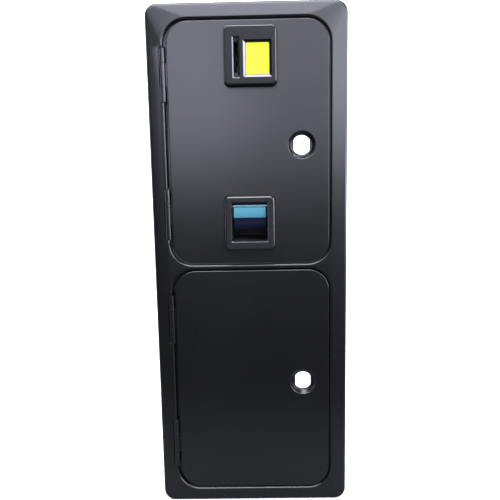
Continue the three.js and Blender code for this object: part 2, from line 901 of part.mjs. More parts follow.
// The flap hangs from its pin; its lower half leans inwards.
function makeReturnFlap() {
  const half = returnOpeningWidth / 2 - flapSideGap;
  const t = flapThickness / 2;
  const section = polygon([
    [-t, 0],
    [-t, -flapUpper],
    [flapSlant - t, -flapUpper - flapLower],
    [flapSlant + t, -flapUpper - flapLower],
    [t, -flapUpper],
    [t, 0],
  ]);
  return cut(
    join(rodX(flapHubRadius, -half, half, 0, 0), plateYZ(section, -half, half)),
    rodX(flapPinRadius + fitGap, -half - overcut, half + overcut, 0, 0, boreSides),
  );
}

function makeFlapPin() {
  const half = returnWidth / 2 - 4.5;
  return rodX(flapPinRadius, -half, half, 0, 0, boreSides);
}

// ------------------------------------------------------------ coin mechanism

// Its own frame: x from the coin slot's centre plane, z from the slot's centre.
const coinLeft = coinSpaceShift - coinSpace / 2;
const coinRight = coinSpaceShift + coinSpace / 2;
const mechBottom = returnZ + cupTop + chuteHeight - (entryZ + slotZ);
const gateAxisX = coinRight + gateSheet / 2;
const gateAxisY = mechBack - 2;
const gateFront = mechFront + 1;
const earHeight = 1.5;
const springRoom = 15;
const gateMiddle = (mechAboveSlot + mechBottom) / 2;
const cradleY = 66;
const cradleZ = -30;
const cradlePivotRadius = 1.5;
const leverX = buttonX - slotX + leverArm;
const leverY = stemEnd + fitGap + (leverSheet + buttonTravel) / 2;
const leverZ = buttonZ - slotZ;
const tabZ = leverZ + leverSheet / 2 + 1;
const wingRight = bracketLeft + bracketSheet - (entryOffsetX + slotX);

// Folded over at the top and down the back, where it guides the falling coin.
function makeMainPlate() {
  const left = coinLeft - mechSheet;
  const guideY = gateAxisY - gateHubRadius - 2 * fitGap - mechSheet;
  const windowFront = mechFront + 12;
  const windowBack = mechFront + 40;
  const low = mechBottom - overcut;
  const earHalf = 3.5;
  const ear = (z) => box(
    left,
    gateAxisX + 4,
    gateAxisY - earHalf,
    gateAxisY + earHalf,
    z,
    z + earHeight,
  );
  return cut(
    join(
      box(left, coinLeft, mechFront, mechBack, mechBottom, mechAboveSlot),
      box(left, coinRight - fitGap, mechFront, gateAxisY - 4, mechAboveSlot - mechSheet, mechAboveSlot),
      box(left, coinRight - fitGap, guideY, guideY + mechSheet, mechBottom, mechAboveSlot),
      ear(mechAboveSlot - earHeight),
      ear(mechBottom),
      rodX(cradlePivotRadius, coinLeft - 0.5, coinRight - 0.5, cradleY, cradleZ),
    ),
    rodZ(gatePinRadius + fitGap, low, mechAboveSlot + overcut, gateAxisX, gateAxisY, boreSides),
    box(left - overcut, coinLeft + overcut, windowFront, windowBack, low, mechBottom + windowHeight),
  );
}

function makeGatePlate() {
  const low = mechBottom + earHeight + fitGap;
  const high = mechAboveSlot - earHeight - fitGap;
  const lipLeft = leverX - leverLean + leverRollerRadius + fitGap;
  const lipRight = lipLeft + gateSheet;
  const tabHalf = 6;
  const tabFront = leverY + leverReach - tabHalf;
  const tabBack = leverY + leverReach + tabHalf;
  const cradleWindowRadius = 7;
  const spring = block(
    gateAxisX,
    gateMiddle,
    8,
    springRoom,
    gateAxisY - 4,
    gateAxisY + 4,
  );
  return cut(
    join(
      box(coinRight, coinRight + gateSheet, gateFront, gateAxisY, low, high),
      rodZ(gateHubRadius, low, high, gateAxisX, gateAxisY),
      box(coinRight, lipRight, tabFront, tabBack, tabZ, tabZ + gateSheet),
      box(lipLeft, lipRight, tabFront, tabBack, leverZ - leverSheet, tabZ + gateSheet),
    ),
    rodZ(gatePinRadius + fitGap, low - overcut, high + overcut, gateAxisX, gateAxisY, boreSides),
    spring,
    rodX(
      cradleWindowRadius,
      coinRight - overcut,
      coinRight + gateSheet + overcut,
      cradleY,
      cradleZ,
      turnedSides,
    ),
  );
}

function makeGatePin() {
  const headRadius = gatePinRadius + 1;
  return join(
    rodZ(gatePinRadius, mechBottom - 1.5, mechAboveSlot + 0.8, gateAxisX, gateAxisY, boreSides),
    rodZ(headRadius, mechAboveSlot + fitGap, mechAboveSlot + 1.6, gateAxisX, gateAxisY, boreSides),
  );
}

function makeGateSpring() {
  const half = springRoom / 2 - fitGap;
  return cut(
    rodZ(gateHubRadius, gateMiddle - half, gateMiddle + half, gateAxisX, gateAxisY),
    rodZ(gatePinRadius + fitGap, gateMiddle - 20, gateMiddle + 20, gateAxisX, gateAxisY, boreSides),
  );
}

// The inclined strip that the coin rolls down between the two plates.
function makeRail() {
  const thickness = 1.6;
  const fall = 7.5;
  const back = cradleY - 12;
  const top = -coinSlotHeight / 2 - 1;
  const strip = polygon([
    [gateFront, top - thickness],
    [back, top - fall - thickness],
    [back, top - fall],
    [gateFront, top],
  ]);
  return plateYZ(strip, coinLeft + fitGap, coinRight - fitGap);
}

// A rocker: the coin lands on the front arm, and the weight brings it back.
function makeCradle() {
  const left = coinLeft + fitGap;
  const right = coinRight - fitGap;
  const armHalf = 1.2;
  const nose = { y: -7.5, z: 5 };
  const weight = { y: 10, z: 2 };
  return cut(
    join(
      rodX(3.2, left, right, 0, 0),
      plateYZ(barShape(0, 0, nose.y, nose.z, armHalf), left, right),
      plateYZ(barShape(0, 0, weight.y, weight.z, armHalf), left, right),
      rodX(3, left, right, weight.y, weight.z),
    ),
    rodX(cradlePivotRadius + fitGap, left - overcut, right + overcut, 0, 0, boreSides),
  );
}

function makeMagnet() {
  const thickness = 5;
  const front = mechFront + 20;
  const right = coinLeft - mechSheet - fitGap;
  const bottom = mechBottom + windowHeight + magnetAboveWindow;
  return box(right - thickness, right, front, front + magnetSize, bottom, bottom + magnetSize);
}

function makeRejectLever() {
  const tip = [-leverLean, leverReach];
  const pad = [-leverArm, -buttonTravel / 2];
  const flat = (shape) => plateXY(shape, -leverSheet / 2, leverSheet / 2);
  const hubBottom = -8.2;
  const hubTop = 4.5;
  return cut(
    join(
      rodZ(4, hubBottom, hubTop, 0, 0),
      flat(barShape(0, 0, pad[0], pad[1], leverSheet / 2)),
      flat(barShape(0, 0, tip[0], tip[1], 1)),
      rodZ(leverRollerRadius, -leverSheet / 2, leverSheet / 2, tip[0], tip[1]),
    ),
    rodZ(gatePinRadius + fitGap, hubBottom - overcut, hubTop + overcut, 0, 0, boreSides),
  );
}

function makeLeverPin() {
  const headTop = -10.3;
  const headBottom = -11.8;
  return join(
    rodZ(gatePinRadius, headTop - 0.7, 5.4, 0, 0, boreSides),
    rodZ(gatePinRadius + 1.2, headBottom, headTop, 0, 0, boreSides),
  );
}

// The bent bracket behind the door: back plate, side wing with four posts for
// the main plate, and a shelf for the lever's pin.
function makeBracket() {
  const right = entryOffsetX + bossRight + bracketMargin;
  const bottom = entryZ + slotZ + mechBottom - 10;
  const top = entryZ + entryHeight / 2;
  const front = backOfDoor;
  const back = front + bracketSheet;
  const mechX = entryOffsetX + slotX;
  const mechZ = entryZ + slotZ;
  const pinX = mechX + leverX;
  const shelfZ = mechZ + leverZ - 10;
  const shelfTop = shelfZ + bracketSheet;
  const shelfHalf = 5;
  const neckLeft = right - 8;
  const postEnd = mechX + coinLeft - mechSheet - fitGap;
  const postRadius = 3;
  const posts = [mechFront + 8, mechBack - 12].flatMap((y) => [mechAboveSlot - 8, mechBottom + 8].map(
    (z) => rodX(postRadius, bracketLeft + bracketSheet / 2, postEnd, y, mechZ + z),
  ));
  const studHoles = entryStuds.map(
    ([x, z]) => rodY(
      studRadius + fitGap,
      front - overcut,
      back + overcut,
      x + entryOffsetX,
      z + entryZ,
      boreSides,
    ),
  );
  return cut(
    join(
      box(bracketLeft, right, front, back, bottom, top),
      box(bracketLeft, bracketLeft + bracketSheet, front, mechBack - 7, bottom, mechZ + mechAboveSlot),
      box(neckLeft, right, front + bracketSheet / 2, leverY + shelfHalf, shelfZ, shelfTop),
      box(pinX - shelfHalf + 0.4, right, leverY - shelfHalf, leverY + shelfHalf, shelfZ, shelfTop),
      ...posts,
    ),
    entryCutout(1, front - overcut, back + 0.2),
    rodY(dishRimRadius + 5, front - overcut, back + overcut, lockX, -lockDrop, turnedSides),
    rodZ(gatePinRadius + fitGap, shelfZ - overcut, shelfTop + overcut, pinX, leverY, boreSides),
    ...studHoles,
  );
}

const chuteLeft = coinSpaceShift - chuteGap / 2;
const chuteRight = coinSpaceShift + chuteGap / 2;
const chuteTop = mechBottom - 2;
const acceptFront = 62;
const acceptBack = 94.4;
const acceptBottom = returnZ - 16.4 - (entryZ + slotZ);
const wireY = 54;
const wireZ = returnZ + 13 - (entryZ + slotZ);

function chuteTube(y0, y1, z0, z1) {
  return cut(
    box(chuteLeft - chuteWall, chuteRight + chuteWall, y0, y1, z0, z1),
    box(chuteLeft, chuteRight, y0 + chuteWall, y1 - chuteWall, z0 - overcut, z1 + overcut),
  );
}

function makeAcceptChute() {
  const hanger = box(
    wingRight + fitGap,
    chuteLeft - 0.5,
    acceptFront + 8,
    acceptFront + 24,
    chuteTop - 6,
    chuteTop - 4.5,
  );
  const slotHalf = 1.3;
  const wireSlot = box(
    coinSpaceShift - slotHalf,
    coinSpaceShift + slotHalf,
    acceptFront - overcut,
    acceptFront + 3,
    wireZ - 9,
    wireZ + 2,
  );
  return cut(chuteTube(acceptFront, acceptBack, acceptBottom, chuteTop), wireSlot).add(hanger);
}

function makeReturnChute() {
  const front = 15.8;
  const back = 44.2;
  const bottom = returnZ + cupTop + 1 - (entryZ + slotZ);
  const hangerFront = backOfDoor + bracketSheet + fitGap;
  const hanger = box(
    chuteLeft - 1,
    chuteRight + 1,
    hangerFront,
    front + 0.5,
    chuteTop - 7,
    chuteTop - 5.5,
  );
  return join(chuteTube(front, back, bottom, chuteTop), hanger);
}

// A microswitch on the chute's front wall; the wire's hub sits between its ears.
function makeCoinSwitch() {
  const front = wireY - 3;
  const caseHalf = 3.2;
  const bladeHalf = 1.6;
  const bladeReach = 4.2;
  const earSheet = 0.8;
  const earX = 1.9;
  const ear = (x) => box(x, x + earSheet, wireY - 2, wireY + 2, wireZ - 1.8, wireZ + 3);
  const blade = (z) => block(coinSpaceShift, z, 2 * bladeHalf, 0.6, front - bladeReach, front + 1);
  return join(
    box(
      coinSpaceShift - caseHalf,
      coinSpaceShift + caseHalf,
      front,
      acceptFront - fitGap,
      wireZ + 2.5,
      wireZ + 18,
    ),
    ear(coinSpaceShift - earX - earSheet),
    ear(coinSpaceShift + earX),
    ...[5, 10, 15].map((rise) => blade(wireZ + rise)),
  );
}

function makeSwitchWire() {
  const wireRadius = 0.6;
  const reach = 34;
  const hubRadius = 1.1;
  const hubHalf = 1.6;
  const route = new THREE.LineCurve3(
    new THREE.Vector3(0, wireRadius, 0),
    new THREE.Vector3(0, reach, 0),
  );
  const section = new THREE.Shape();
  section.absarc(0, 0, wireRadius, 0, Math.PI * 2);
  const arm = new THREE.ExtrudeGeometry(section, {
    extrudePath: route,
    steps: 2,
    curveSegments: 4,
    bevelEnabled: false,
  });
  return join(rodX(hubRadius, -hubHalf, hubHalf, 0, 0, boreSides), solid(arm));
}

// -------------------------------------------------------------------- scene

const coinDoor = new THREE.Group();

function addHinge(doorGroup, doorName, place, z) {
  const hinge = `${doorName}_${place}_hinge`;
  const frameLeaf = addPart(coinDoor, `${hinge}_frame_leaf`, makeFrameLeaf(), blackPowderCoat());
  const pin = addPart(coinDoor, `${hinge}_pin`, makeHingePin(), brightSteel());
  const doorLeaf = addPart(doorGroup, `${hinge}_door_leaf`, makeDoorLeaf(), blackPowderCoat());
  frameLeaf.position.set(hingeAxisX, hingeAxisY, doorGroup.position.z + z);
  pin.position.set(hingeAxisX, hingeAxisY, doorGroup.position.z + z);
  doorLeaf.position.set(hingeAxisX - doorX, hingeAxisY, z);
}

function addDoorGroup(side) {
  const group = new THREE.Group();
  group.position.set(doorX, 0, side * openingCentreZ);
  coinDoor.add(group);
  return group;
}

addPart(coinDoor, 'frame_surround', makeSurround(), blackPowderCoat());
addPart(coinDoor, 'frame_sleeve', makeSleeve(), blackPowderCoat());
const upperStrike = addPart(coinDoor, 'upper_strike_plate', makeStrikePlate(), zincSteel());
const lowerStrike = addPart(coinDoor, 'lower_strike_plate', makeStrikePlate(), zincSteel());
upperStrike.position.z = openingCentreZ - lockDrop;
lowerStrike.position.z = -openingCentreZ - lockDrop;

for (const [endName, end] of [['upper', 1], ['lower', -1]]) {
  for (const [sideName, side] of [['left', -1], ['right', 1]]) {
    const clamp = new THREE.Group();
    clamp.position.set(side * clampX, 0, end * clampZ);
    addPart(clamp, `${endName}_${sideName}_clamp_bolt`, makeClampBolt(), zincSteel());
    addPart(clamp, `${endName}_${sideName}_clamp_bar`, makeClampBar(end), zincSteel());
    addPart(clamp, `${endName}_${sideName}_clamp_nut`, makeClampNut(), zincSteel());
    coinDoor.add(clamp);
  }
}

const upperDoor = addDoorGroup(1);
const lowerDoor = addDoorGroup(-1);
addPart(upperDoor, 'upper_door_panel', makeUpperDoorPanel(), blackPowderCoat());
addPart(lowerDoor, 'lower_door_panel', makeDoorPanel(), blackPowderCoat());
for (const [place, end] of [['top', 1], ['bottom', -1]]) {
  addHinge(upperDoor, 'upper_door', place, end * hingeOffsetZ);
  addHinge(lowerDoor, 'lower_door', place, end * hingeOffsetZ);
}

const coinEntry = new THREE.Group();
coinEntry.position.set(entryOffsetX, 0, entryZ);
upperDoor.add(coinEntry);
addPart(coinEntry, 'coin_entry_bezel', makeEntryBezel(), blackPlastic());
const nutFace = backOfDoor + bracketSheet + fitGap;
entryStuds.forEach(([x, z], i) => {
  addPart(coinEntry, `entry_bezel_nut_${i + 1}`, makeNut(x, z, nutFace), zincSteel());
});

const rejectButton = new THREE.Group();
rejectButton.position.set(buttonX, 0, buttonZ);
coinEntry.add(rejectButton);
addPart(rejectButton, 'reject_button', makeRejectButton(), finish(0xe8ea18, 0.25, 0.0));
addPart(rejectButton, 'button_return_spring', makeButtonSpring(), brightSteel());
addPart(rejectButton, 'lamp_holder', makeLampHolder(), finish(0xd8d6cc, 0.5, 0.0));
addPart(rejectButton, 'lamp_bulb', makeLampBulb(), finish(0xfff6dc, 0.1, 0.0));

const coinReturn = new THREE.Group();
coinReturn.position.set(returnOffsetX, 0, returnZ);
upperDoor.add(coinReturn);
addPart(coinReturn, 'coin_return_bezel', makeReturnBezel(), blackPlastic());
addPart(coinReturn, 'coin_return_cup', makeReturnCup(), blackPlastic());
[-1, 1].forEach((side, i) => {
  const nut = makeNut(side * returnStudX, 0, backOfDoor + cupWall + fitGap);
  addPart(coinReturn, `return_bezel_nut_${i + 1}`, nut, zincSteel());
});
const returnFlap = addPart(coinReturn, 'return_flap', makeReturnFlap(), finish(0x2a9fc4, 0.2, 0.0));
const flapPin = addPart(coinReturn, 'flap_pin', makeFlapPin(), brightSteel());
returnFlap.position.set(0, -flapSet, flapAxisZ);
flapPin.position.set(0, -flapSet, flapAxisZ);

addPart(upperDoor, 'mech_bracket', makeBracket(), zincSteel());
const mechanism = new THREE.Group();
mechanism.position.set(entryOffsetX + slotX, 0, entryZ + slotZ);
upperDoor.add(mechanism);
addPart(mechanism, 'mech_main_plate', makeMainPlate(), brightSteel());
addPart(mechanism, 'mech_gate_plate', makeGatePlate(), brightSteel());
addPart(mechanism, 'mech_gate_pin', makeGatePin(), brightSteel());
addPart(mechanism, 'mech_gate_spring', makeGateSpring(), brightSteel());
addPart(mechanism, 'mech_rail', makeRail(), brightSteel());
addPart(mechanism, 'mech_magnet', makeMagnet(), finish(0x3a3d42, 0.5, 1.0));
const cradle = addPart(mechanism, 'mech_cradle', makeCradle(), finish(0xb08d3c, 0.35, 1.0));
cradle.position.set(0, cradleY, cradleZ);
const lever = addPart(mechanism, 'reject_lever', makeRejectLever(), zincSteel());
const leverPin = addPart(mechanism, 'reject_lever_pin', makeLeverPin(), brightSteel());
lever.position.set(leverX, leverY, leverZ);
leverPin.position.set(leverX, leverY, leverZ);
addPart(mechanism, 'accept_chute', makeAcceptChute(), blackPlastic());
addPart(mechanism, 'return_chute', makeReturnChute(), blackPlastic());
addPart(mechanism, 'coin_switch', makeCoinSwitch(), blackPlastic());
const switchWire = addPart(mechanism, 'switch_wire', makeSwitchWire(), brightSteel());
switchWire.position.set(coinSpaceShift, wireY, wireZ);

export default coinDoor;
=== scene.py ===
"""Over/under coin door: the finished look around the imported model. Metres, +Z up, the front faces -Y."""
import json
import math

import bmesh
import bpy
from mathutils import Matrix, Vector


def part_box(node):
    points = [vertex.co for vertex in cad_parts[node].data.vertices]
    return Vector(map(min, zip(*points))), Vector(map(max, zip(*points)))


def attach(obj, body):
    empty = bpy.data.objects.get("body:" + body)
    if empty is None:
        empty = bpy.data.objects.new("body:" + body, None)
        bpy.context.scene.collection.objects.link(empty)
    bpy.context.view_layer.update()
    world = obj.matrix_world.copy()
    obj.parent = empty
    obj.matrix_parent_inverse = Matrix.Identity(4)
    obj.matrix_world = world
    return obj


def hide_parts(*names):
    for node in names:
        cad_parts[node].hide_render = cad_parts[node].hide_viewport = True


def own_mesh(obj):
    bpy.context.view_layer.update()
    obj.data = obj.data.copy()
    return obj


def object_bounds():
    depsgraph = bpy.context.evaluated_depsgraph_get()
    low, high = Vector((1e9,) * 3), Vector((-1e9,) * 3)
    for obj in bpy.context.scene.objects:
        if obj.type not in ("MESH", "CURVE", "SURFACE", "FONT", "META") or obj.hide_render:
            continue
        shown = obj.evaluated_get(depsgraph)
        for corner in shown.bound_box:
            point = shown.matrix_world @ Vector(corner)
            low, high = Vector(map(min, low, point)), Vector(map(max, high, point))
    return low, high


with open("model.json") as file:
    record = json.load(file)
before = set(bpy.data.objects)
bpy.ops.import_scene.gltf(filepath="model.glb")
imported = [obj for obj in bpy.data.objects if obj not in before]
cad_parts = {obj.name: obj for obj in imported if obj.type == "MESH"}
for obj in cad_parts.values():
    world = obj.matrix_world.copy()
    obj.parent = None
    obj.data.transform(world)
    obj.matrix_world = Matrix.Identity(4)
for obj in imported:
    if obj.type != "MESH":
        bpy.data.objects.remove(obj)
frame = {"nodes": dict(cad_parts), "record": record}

cad_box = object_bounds()

# ---------------------------------------------------------------- studio
# A white paper sweep that runs back under the door and curves up behind it. Soft
# panels stand above, in front and at both sides, and the room is dim below them.
MM = 0.001
FLOOR_Z = cad_box[0][2] - 0.3 * MM


def by_camera(nodes, links, dim, pale, output):
    """Pale to the camera, and dim in the door's reflections, as if black cards stood out of view."""
    ray = nodes.new("ShaderNodeLightPath")
    either = nodes.new("ShaderNodeMixShader")
    links.new(ray.outputs["Is Camera Ray"], either.inputs["Fac"])
    links.new(dim, either.inputs[1])
    links.new(pale, either.inputs[2])
    links.new(either.outputs["Shader"], output.inputs["Surface"])


def paper_sweep(front, back, bend, height, half_width):
    bm = bmesh.new()
    edge = bm.edges.new([bm.verts.new((x, front, FLOOR_Z)) for x in (-half_width, half_width)])

    def run_on(edges, step):
        grown = bmesh.ops.extrude_edge_only(bm, edges=edges)["geom"]
        moved = [v for v in grown if isinstance(v, bmesh.types.BMVert)]
        bmesh.ops.translate(bm, verts=moved, vec=step)
        return [e for e in grown if isinstance(e, bmesh.types.BMEdge) and all(v in moved for v in e.verts)]

    edges = run_on([edge], (0, back - front, 0))
    turned = bmesh.ops.spin(
        bm, geom=edges, cent=(0, back, FLOOR_Z + bend), axis=(1, 0, 0), angle=math.pi / 2, steps=24,
    )
    run_on([e for e in turned["geom_last"] if isinstance(e, bmesh.types.BMEdge)], (0, 0, height))
    bmesh.ops.recalc_face_normals(bm, faces=bm.faces)
    for face in bm.faces:
        face.smooth = True
    mesh = bpy.data.meshes.new("paper_sweep")
    bm.to_mesh(mesh)
    bm.free()
    sweep = bpy.data.objects.new("paper_sweep", mesh)
    bpy.context.collection.objects.link(sweep)
    paper = bpy.data.materials.new("white_paper")
    paper.use_nodes = True
    nodes, links = paper.node_tree.nodes, paper.node_tree.links
    seen_white = nodes["Principled BSDF"]
    seen_white.inputs["Base Color"].default_value = (0.9, 0.9, 0.9, 1)
    seen_white.inputs["Roughness"].default_value = 0.9
    masked = nodes.new("ShaderNodeBsdfDiffuse")
    coords = nodes.new("ShaderNodeTexCoord")
    across = nodes.new("ShaderNodeSeparateXYZ")
    # Painted light: the grey that the door reflects from the floor rises towards the door, a painted pool of
    # light near its foot.
    painted_light_near_door = nodes.new("ShaderNodeMapRange")
    painted_light_near_door.interpolation_type = "SMOOTHSTEP"
    far, near, far_grey, near_grey = -0.35, -0.05, 0.02, 0.15
    painted_light_near_door.inputs["From Min"].default_value = far
    painted_light_near_door.inputs["From Max"].default_value = near
    painted_light_near_door.inputs["To Min"].default_value = far_grey
    painted_light_near_door.inputs["To Max"].default_value = near_grey
    links.new(coords.outputs["Object"], across.inputs["Vector"])
    links.new(across.outputs["Y"], painted_light_near_door.inputs["Value"])
    links.new(painted_light_near_door.outputs["Result"], masked.inputs["Color"])
    by_camera(nodes, links, masked.outputs["BSDF"], seen_white.outputs["BSDF"], nodes["Material Output"])
    mesh.materials.append(paper)


def soft_panel(name, azimuth, elevation, distance, size, radiance, aim, tint):
    """A panel seen from the aim at an azimuth right of straight ahead and an elevation."""
    turn, rise = math.radians(azimuth), math.radians(elevation)
    away = Vector((math.sin(turn) * math.cos(rise), -math.cos(turn) * math.cos(rise), math.sin(rise)))
    light = bpy.data.lights.new(name, "AREA")
    light.shape = "RECTANGLE"
    light.size, light.size_y = size
    light.color = tint
    light.energy = radiance * math.pi * size[0] * size[1]
    lamp = bpy.data.objects.new(name, light)
    lamp.location = Vector(aim) + distance * away
    lamp.rotation_euler = away.to_track_quat("Z", "Y").to_euler()
    bpy.context.collection.objects.link(lamp)


paper_sweep(front=-2.6, back=1.5, bend=0.8, height=2.4, half_width=3.5)
# name, azimuth, elevation, distance, size, radiance
for panel in (
    ("overhead_bank", -8, 46, 3.0, (3.4, 1.5), 10.5),
    ("left_bank", -9, 12.5, 3.0, (0.8, 1.2), 6.6),
    ("middle_bank", 6, 12.5, 3.0, (0.75, 1.2), 2.6),
    ("right_bank", 27, 14, 3.0, (1.25, 1.2), 8.6),
    ("right_strip", 64, 12, 1.5, (0.5, 1.0), 22.0),
    ("left_strip", -90, 12, 1.5, (0.4, 1.0), 6.0),
    ("top_strip", 0, 72, 1.6, (1.0, 0.5), 22.0),
):
    soft_panel(*panel, aim=(0, 0, 0), tint=(0.86, 0.89, 1.04))
for side, aim_x in (("left", -1.1), ("right", 1.1)):
    soft_panel(f"paper_bank_{side}", 0, 60, 2.2, (1.6, 0.8), 16.0, aim=(aim_x, 2.2, 0), tint=(1, 1, 1))

room = bpy.data.worlds.new("studio_room")
bpy.context.scene.world = room
room.use_nodes = True
room_nodes = room.node_tree.nodes
dim_walls = room_nodes["Background"]
dim_walls.inputs["Color"].default_value = (0.92, 0.96, 1.0, 1)
dim_walls.inputs["Strength"].default_value = 0.05
pale_walls = room_nodes.new("ShaderNodeBackground")
pale_walls.inputs["Color"].default_value = (1, 1, 1, 1)
room_links = room.node_tree.links
by_camera(
    room_nodes, room_links, dim_walls.outputs["Background"], pale_walls.outputs["Background"],
    room_nodes["World Output"],
)
bpy.context.scene.view_settings.view_transform = "Standard"

lens = bpy.data.cameras.new("front_camera")
lens.lens = 43.2
lens.sensor_width = 36
camera = bpy.data.objects.new("front_camera", lens)
camera.location = (9.15 * MM, -619.5 * MM, 113.9 * MM)
camera.rotation_euler = [math.radians(angle) for angle in (81.153, 1.058, 0.707)]
bpy.context.collection.objects.link(camera)
bpy.context.scene.camera = camera

# -------------------------------------------------------- pressed surround
# One pressing of 1.5 mm mild steel, powder coated satin black. Its flange falls
# away from the openings to a bent rim, and each opening is rolled back into a
# lip that turns in behind the door as a stop.
record = frame["record"]
body_of = {node: body for body, nodes in record["behaviour"]["bodies"].items() for node in nodes}


def grain_group():
    """Two scales of noise on Object coordinates: a fine grain and broad blotches."""
    group = bpy.data.node_groups.new("surface_grain", "ShaderNodeTree")
    given_sockets = (("Grains Per Metre", "Float"), ("Blotches Per Metre", "Float"), ("Stretch", "Vector"))
    for name, kind in given_sockets:
        group.interface.new_socket(name, in_out="INPUT", socket_type=f"NodeSocket{kind}")
    for name in ("Grain", "Blotches"):
        group.interface.new_socket(name, in_out="OUTPUT", socket_type="NodeSocketFloat")
    nodes, links = group.nodes, group.links
    given = nodes.new("NodeGroupInput")
    result = nodes.new("NodeGroupOutput")
    coords = nodes.new("ShaderNodeTexCoord")
    stretched = nodes.new("ShaderNodeVectorMath")
    stretched.operation = "MULTIPLY"
    links.new(coords.outputs["Object"], stretched.inputs[0])
    links.new(given.outputs["Stretch"], stretched.inputs[1])
    noises = (("Grain", 3.0, "Grains Per Metre"), ("Blotches", 2.0, "Blotches Per Metre"))
    for name, detail, count in noises:
        noise = nodes.new("ShaderNodeTexNoise")
        noise.inputs["Detail"].default_value = detail
        links.new(stretched.outputs["Vector"], noise.inputs["Vector"])
        links.new(given.outputs[count], noise.inputs["Scale"])
        links.new(noise.outputs["Fac"], result.inputs[name])
    return group


surface_grain = grain_group()


def surface(
    name, colour, shade, roughness, grains, blotches, depth, stretch=(1, 1, 1), metallic=0.0, **sockets,
):
    """A finish whose colour and gloss drift over broad blotches, with a fine grain in its relief."""
    material = bpy.data.materials.new(name)
    material.use_nodes = True
    nodes, links = material.node_tree.nodes, material.node_tree.links
    shader = nodes["Principled BSDF"]
    grain = nodes.new("ShaderNodeGroup")
    grain.node_tree = surface_grain
    grain.inputs["Grains Per Metre"].default_value = grains
    grain.inputs["Blotches Per Metre"].default_value = blotches
    grain.inputs["Stretch"].default_value = stretch
    tint = nodes.new("ShaderNodeMix")
    tint.data_type = "RGBA"
    tint.inputs["A"].default_value = (*colour, 1)
    tint.inputs["B"].default_value = (*shade, 1)
    links.new(grain.outputs["Blotches"], tint.inputs["Factor"])
    links.new(tint.outputs["Result"], shader.inputs["Base Color"])
    noise_low, noise_high = 0.3, 0.7
    gloss = nodes.new("ShaderNodeMapRange")
    gloss.inputs["From Min"].default_value = noise_low
    gloss.inputs["From Max"].default_value = noise_high
    gloss.inputs["To Min"].default_value = roughness[0]
    gloss.inputs["To Max"].default_value = roughness[1]
    links.new(grain.outputs["Blotches"], gloss.inputs["Value"])
    links.new(gloss.outputs["Result"], shader.inputs["Roughness"])
    relief = nodes.new("ShaderNodeBump")
    relief.inputs["Distance"].default_value = depth
    links.new(grain.outputs["Grain"], relief.inputs["Height"])
    links.new(relief.outputs["Normal"], shader.inputs["Normal"])
    shader.inputs["Metallic"].default_value = metallic
    for socket, value in sockets.items():
        shader.inputs[socket.replace("_", " ")].default_value = value
    # Given an emission strength, the tint also glows: painted light on the button, the lamp's own light on
    # its glass.
    if "Emission_Strength" in sockets:
        links.new(tint.outputs["Result"], shader.inputs["Emission Color"])
    return material


def outline_loop(bm, size, radius, y, place=(0, 0), steps=16):
    """A rounded rectangle of bare edges that faces the front."""
    before = set(bm.edges)
    verts = bmesh.ops.create_grid(bm, x_segments=1, y_segments=1, size=0.5)["verts"]  # one metre square
    bmesh.ops.scale(bm, vec=(size[0], size[1], 1), verts=verts)
    bmesh.ops.bevel(
        bm, geom=verts, affect="VERTICES", offset=radius, offset_type="OFFSET",
        segments=steps, profile=0.5, material=-1, clamp_overlap=False,
    )
    edges = [e for e in bm.edges if e not in before]
    bmesh.ops.delete(bm, geom=list({f for e in edges for f in e.link_faces}), context="FACES_ONLY")
    return stood_up(bm, edges, y, place)


def circle_loop(bm, radius, y, place=(0, 0), steps=48):
    """A circle of bare edges that faces the front."""
    before = set(bm.edges)
    bmesh.ops.create_circle(bm, cap_ends=False, segments=steps, radius=radius)
    return stood_up(bm, [e for e in bm.edges if e not in before], y, place)


def stood_up(bm, edges, y, place):
    """Turns a flat loop up to face the front, and moves it to its place."""
    verts = list({v for e in edges for v in e.verts})
    bmesh.ops.rotate(bm, cent=(0, 0, 0), matrix=Matrix.Rotation(math.pi / 2, 3, "X"), verts=verts)
    bmesh.ops.translate(bm, vec=(place[0], y, place[1]), verts=verts)
    return edges


def skin(bm, loops):
    """Joins a row of matching loops, with a flat ring where two lie in one plane."""
    same_plane = 1e-6
    for near, far in zip(loops, loops[1:]):
        if abs(near[0].verts[0].co.y - far[0].verts[0].co.y) < same_plane:
            fill(bm, near, far)
        else:
            bmesh.ops.bridge_loops(bm, edges=near + far)


def fill(bm, *loops):
    """Fills the flat face between an outer loop and the holes in it."""
    edges = [e for loop in loops for e in loop]
    bmesh.ops.triangle_fill(bm, use_beauty=True, use_dissolve=False, edges=edges)


def quarter_round(radius, steps=5):
    """How far a rounded edge has come in, and how far it has risen, at each step."""
    angles = [math.pi / 2 * i / steps for i in range(steps + 1)]
    return [(radius * (1 - math.cos(a)), radius * math.sin(a)) for a in angles]


def inside(face):
    """A face of a passage, behind its bevelled mouth."""
    mouth_back = -8 * MM
    return face.calc_center_median().y > mouth_back and abs(face.normal.y) < 0.5


def faces_front(face):
    return face.normal.y < -0.99


